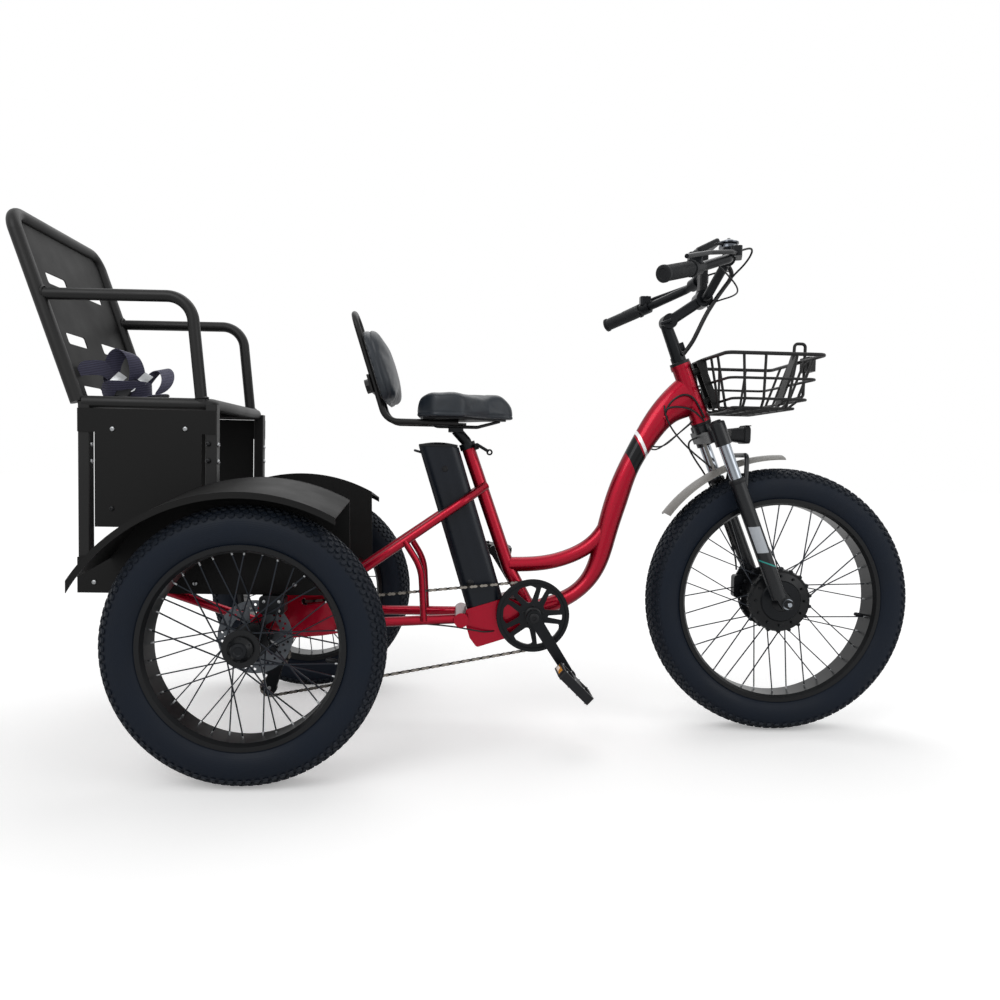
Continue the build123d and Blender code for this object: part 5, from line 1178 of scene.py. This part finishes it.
# frame: the seat clamp's ear and release ring, the battery's cap, key lock and charging port
postFoot = ahead(457, 0, 712)
seatRun = (postFoot - ahead(566, 0, 408)).normalized()
packUp = Vector((-sin(packLean), 0, cos(packLean)))
packAhead = Vector((cos(packLean), 0, sin(packLean)))
packFoot = ahead(459, 0, 311) + packAhead * 0.0475
seatClamp = block("seatClamp", postFoot + Vector((0.019, 0, 0.006)), (20, 12, 15), seatRun, 2)
place(seatClamp, "chassis", "anodised", "black_aluminium")
packSide = packFoot - sideways * 0.0438
lock = lathed("keyLock", [(7.6, 0), (7.6, 1.6), (6.4, 2.6), (5, 2.6), (4.6, 1.6), (0.1, 1.6)],
              packSide + packUp * 0.352, (0, -1, 0), 28)
port = lathed("chargePort", [(9, 0), (9, 1.4), (7.6, 2.4), (0.1, 2.8)],
              packSide + packUp * 0.06 + packAhead * -0.02, (0, -1, 0), 28)
fit("packFittings", [lock, port], "chassis", "blackSteel", "battery_case")
capSet = {"size": (85, 96, 6), "crown": 6}
capMiddle = packFoot + packUp * (0.7181 - packFoot.z) / packUp.z
packCap = block("packCap", capMiddle, capSet["size"], edge=0)
editAll(packCap)
bpy.ops.mesh.subdivide(number_cuts=9)
bpy.ops.object.mode_set(mode="OBJECT")
for vertex in packCap.data.vertices:               # crowned along and across
    along = (vertex.co.x - capMiddle.x) * 2000 / capSet["size"][1]
    across = vertex.co.y * 2000 / capSet["size"][0]
    if vertex.co.z > capMiddle.z:
        vertex.co.z += capSet["crown"] / 1000 * max(0, 1 - along * along) * max(0, 1 - across ** 4)
rounded(packCap, 1.6, 3)
place(smooth(packCap, 50), "chassis", "plastic", "battery_case")
deselectAll()
bpy.ops.mesh.primitive_torus_add(major_segments=28, minor_segments=10, major_radius=0.0058, minor_radius=0.0022,
                                 location=ahead(509, -34, 704.5), rotation=(pi / 2, 0, 0))
place(bpy.context.object, "chassis", "anodised", "black_aluminium")
bpy.context.object.name = "quickReleaseRing"
print("frame ready")

# caliper bolts and derailleur bolts
boltSet = {
    "rearSide": 308, "rear": ((22, 372), (54, 372), (54, 352)), "frontSide": 65.5, "front": ((-78, 46), (-78, 2)),
    "gearSide": -68.6, "gear": ((4, 196, 10), (-22, 114, 10), (-4, 200, 6)),
}
rearBits = []
for side in (-1, 1):
    for x, z in boltSet["rear"]:
        foot = ahead(x, side * boltSet["rearSide"], z)
        rearBits.append(rod("bolt", foot - sideways * side * 0.002, foot + sideways * side * 0.0036, 7, 12, 0.7))
for x, z, size in boltSet["gear"]:
    foot = ahead(x, boltSet["gearSide"], z)
    rearBits.append(rod("bolt", foot + sideways * 0.001, foot - sideways * 0.003, size, 12, 0.8))
fit("rearBolts", rearBits, "chassis", "zinc", "silver")
frontBits = []
for x, z in boltSet["front"]:
    foot = frontHub + Vector((x, boltSet["frontSide"], z)) / 1000
    frontBits.append(rod("bolt", foot - sideways * 0.002, foot + sideways * 0.0034, 7, 12, 0.7))
fit("frontCaliperBolts", frontBits, "steering", "zinc", "silver")
print("rear end ready")

# plain pale floor and soft studio light
stageSet = {
    "floor": "F4F4F4", "glowNear": 0.27, "glowFar": 0.5, "worldLight": 0.58,
    # name, where it stands, what it is aimed at, its size and its power
    "lamps": [
        ("keyLamp", (-1.6, -2.6, 2.8), (0, 0, 0.6), 2.2, 34),
        ("fillLamp", (2.6, -2.0, 1.6), (0.2, 0, 0.6), 2.0, 16),
        ("topLamp", (0.2, 1.2, 3.2), (0, 0, 0.5), 3.0, 30),
    ],
}


def emptied(holder):                   # a material or a world without its stock nodes
    holder.use_nodes = True
    for node in list(holder.node_tree.nodes):
        holder.node_tree.nodes.remove(node)
    return holder


deselectAll()
bpy.ops.mesh.primitive_plane_add(size=40, location=(0, 0, 0))
floor = bpy.context.object
floor.name = "floor"
floorPaint = emptied(bpy.data.materials.new("paleFloor"))
raySort = addNode(floorPaint, "LightPath")
matt = addNode(floorPaint, "BsdfDiffuse", inputs={"Color": paint(stageSet["floor"])})
spot = addNode(floorPaint, "TexCoord")
reach = addNode(floorPaint, "VectorMath", {0: (spot, "Object")}, operation="LENGTH")
spread = addNode(floorPaint, "MapRange", {"Value": (reach, "Value")},
                 {"From Min": 1.0, "From Max": 4.5, "To Min": stageSet["glowNear"], "To Max": stageSet["glowFar"]})
glow = addNode(floorPaint, "Emission", {"Strength": (spread, "Result")}, {"Color": paint("FFFFFF")})
seen = addNode(floorPaint, "MixShader", {0: (raySort, "Is Camera Ray")})
both = addNode(floorPaint, "AddShader", {0: (matt, "BSDF"), 1: (glow, "Emission")})
floorPaint.node_tree.links.new(matt.outputs["BSDF"], seen.inputs[1])
floorPaint.node_tree.links.new(both.outputs["Shader"], seen.inputs[2])
addNode(floorPaint, "OutputMaterial", {"Surface": (seen, "Shader")})
floor.data.materials.append(floorPaint)

world = emptied(bpy.data.worlds.new("studio"))
scene.world = world
raySort = addNode(world, "LightPath")
shown = addNode(world, "Math", {0: (raySort, "Is Camera Ray"), 1: (raySort, "Is Glossy Ray")},
                operation="MAXIMUM")
shown = addNode(world, "Math", {0: (shown, "Value"), 1: (raySort, "Is Transmission Ray")},
                operation="MAXIMUM")
ambient = addNode(world, "Background", inputs={"Color": paint("FFFFFF"), "Strength": stageSet["worldLight"]})
white = addNode(world, "Background", inputs={"Color": paint("FFFFFF"), "Strength": 1.0})
sky = addNode(world, "MixShader", {0: (shown, "Value")})
world.node_tree.links.new(ambient.outputs["Background"], sky.inputs[1])
world.node_tree.links.new(white.outputs["Background"], sky.inputs[2])
addNode(world, "OutputWorld", {"Surface": (sky, "Shader")})

for name, spot, aim, size, power in stageSet["lamps"]:
    data = bpy.data.lights.new(name, "AREA")
    data.shape = "DISK"
    data.size = size
    data.energy = power
    lampObject = bpy.data.objects.new(name, data)
    scene.collection.objects.link(lampObject)
    away = (Vector(spot) - Vector(aim)).to_track_quat("Z", "Y").to_matrix().to_4x4()
    lampObject.matrix_world = Matrix.Translation(spot) @ away

# camera on the right-hand side, near the height of the saddle
view = {"spot": (-0.0779, -2.0236, 0.6863), "yaw": 0.0503, "pitch": -0.0505, "roll": 0.0214, "lens": 28.64}
yaw, pitch, roll = view["yaw"], view["pitch"], view["roll"]
forward = Vector((sin(yaw) * cos(pitch), cos(yaw) * cos(pitch), sin(pitch)))
right = Vector((cos(yaw), -sin(yaw), 0))
up = right.cross(forward)
frameRight = right * cos(roll) + up * sin(roll)
frameUp = up * cos(roll) - right * sin(roll)
cameraData = bpy.data.cameras.new("camera")
cameraData.sensor_width = 36
cameraData.lens = view["lens"]
camera = bpy.data.objects.new("camera", cameraData)
scene.collection.objects.link(camera)
camera.matrix_world = Matrix.Translation(view["spot"]) @ Matrix((frameRight, frameUp, -forward)).transposed().to_4x4()
scene.camera = camera
scene.view_settings.view_transform = "Standard"
print("stage ready")
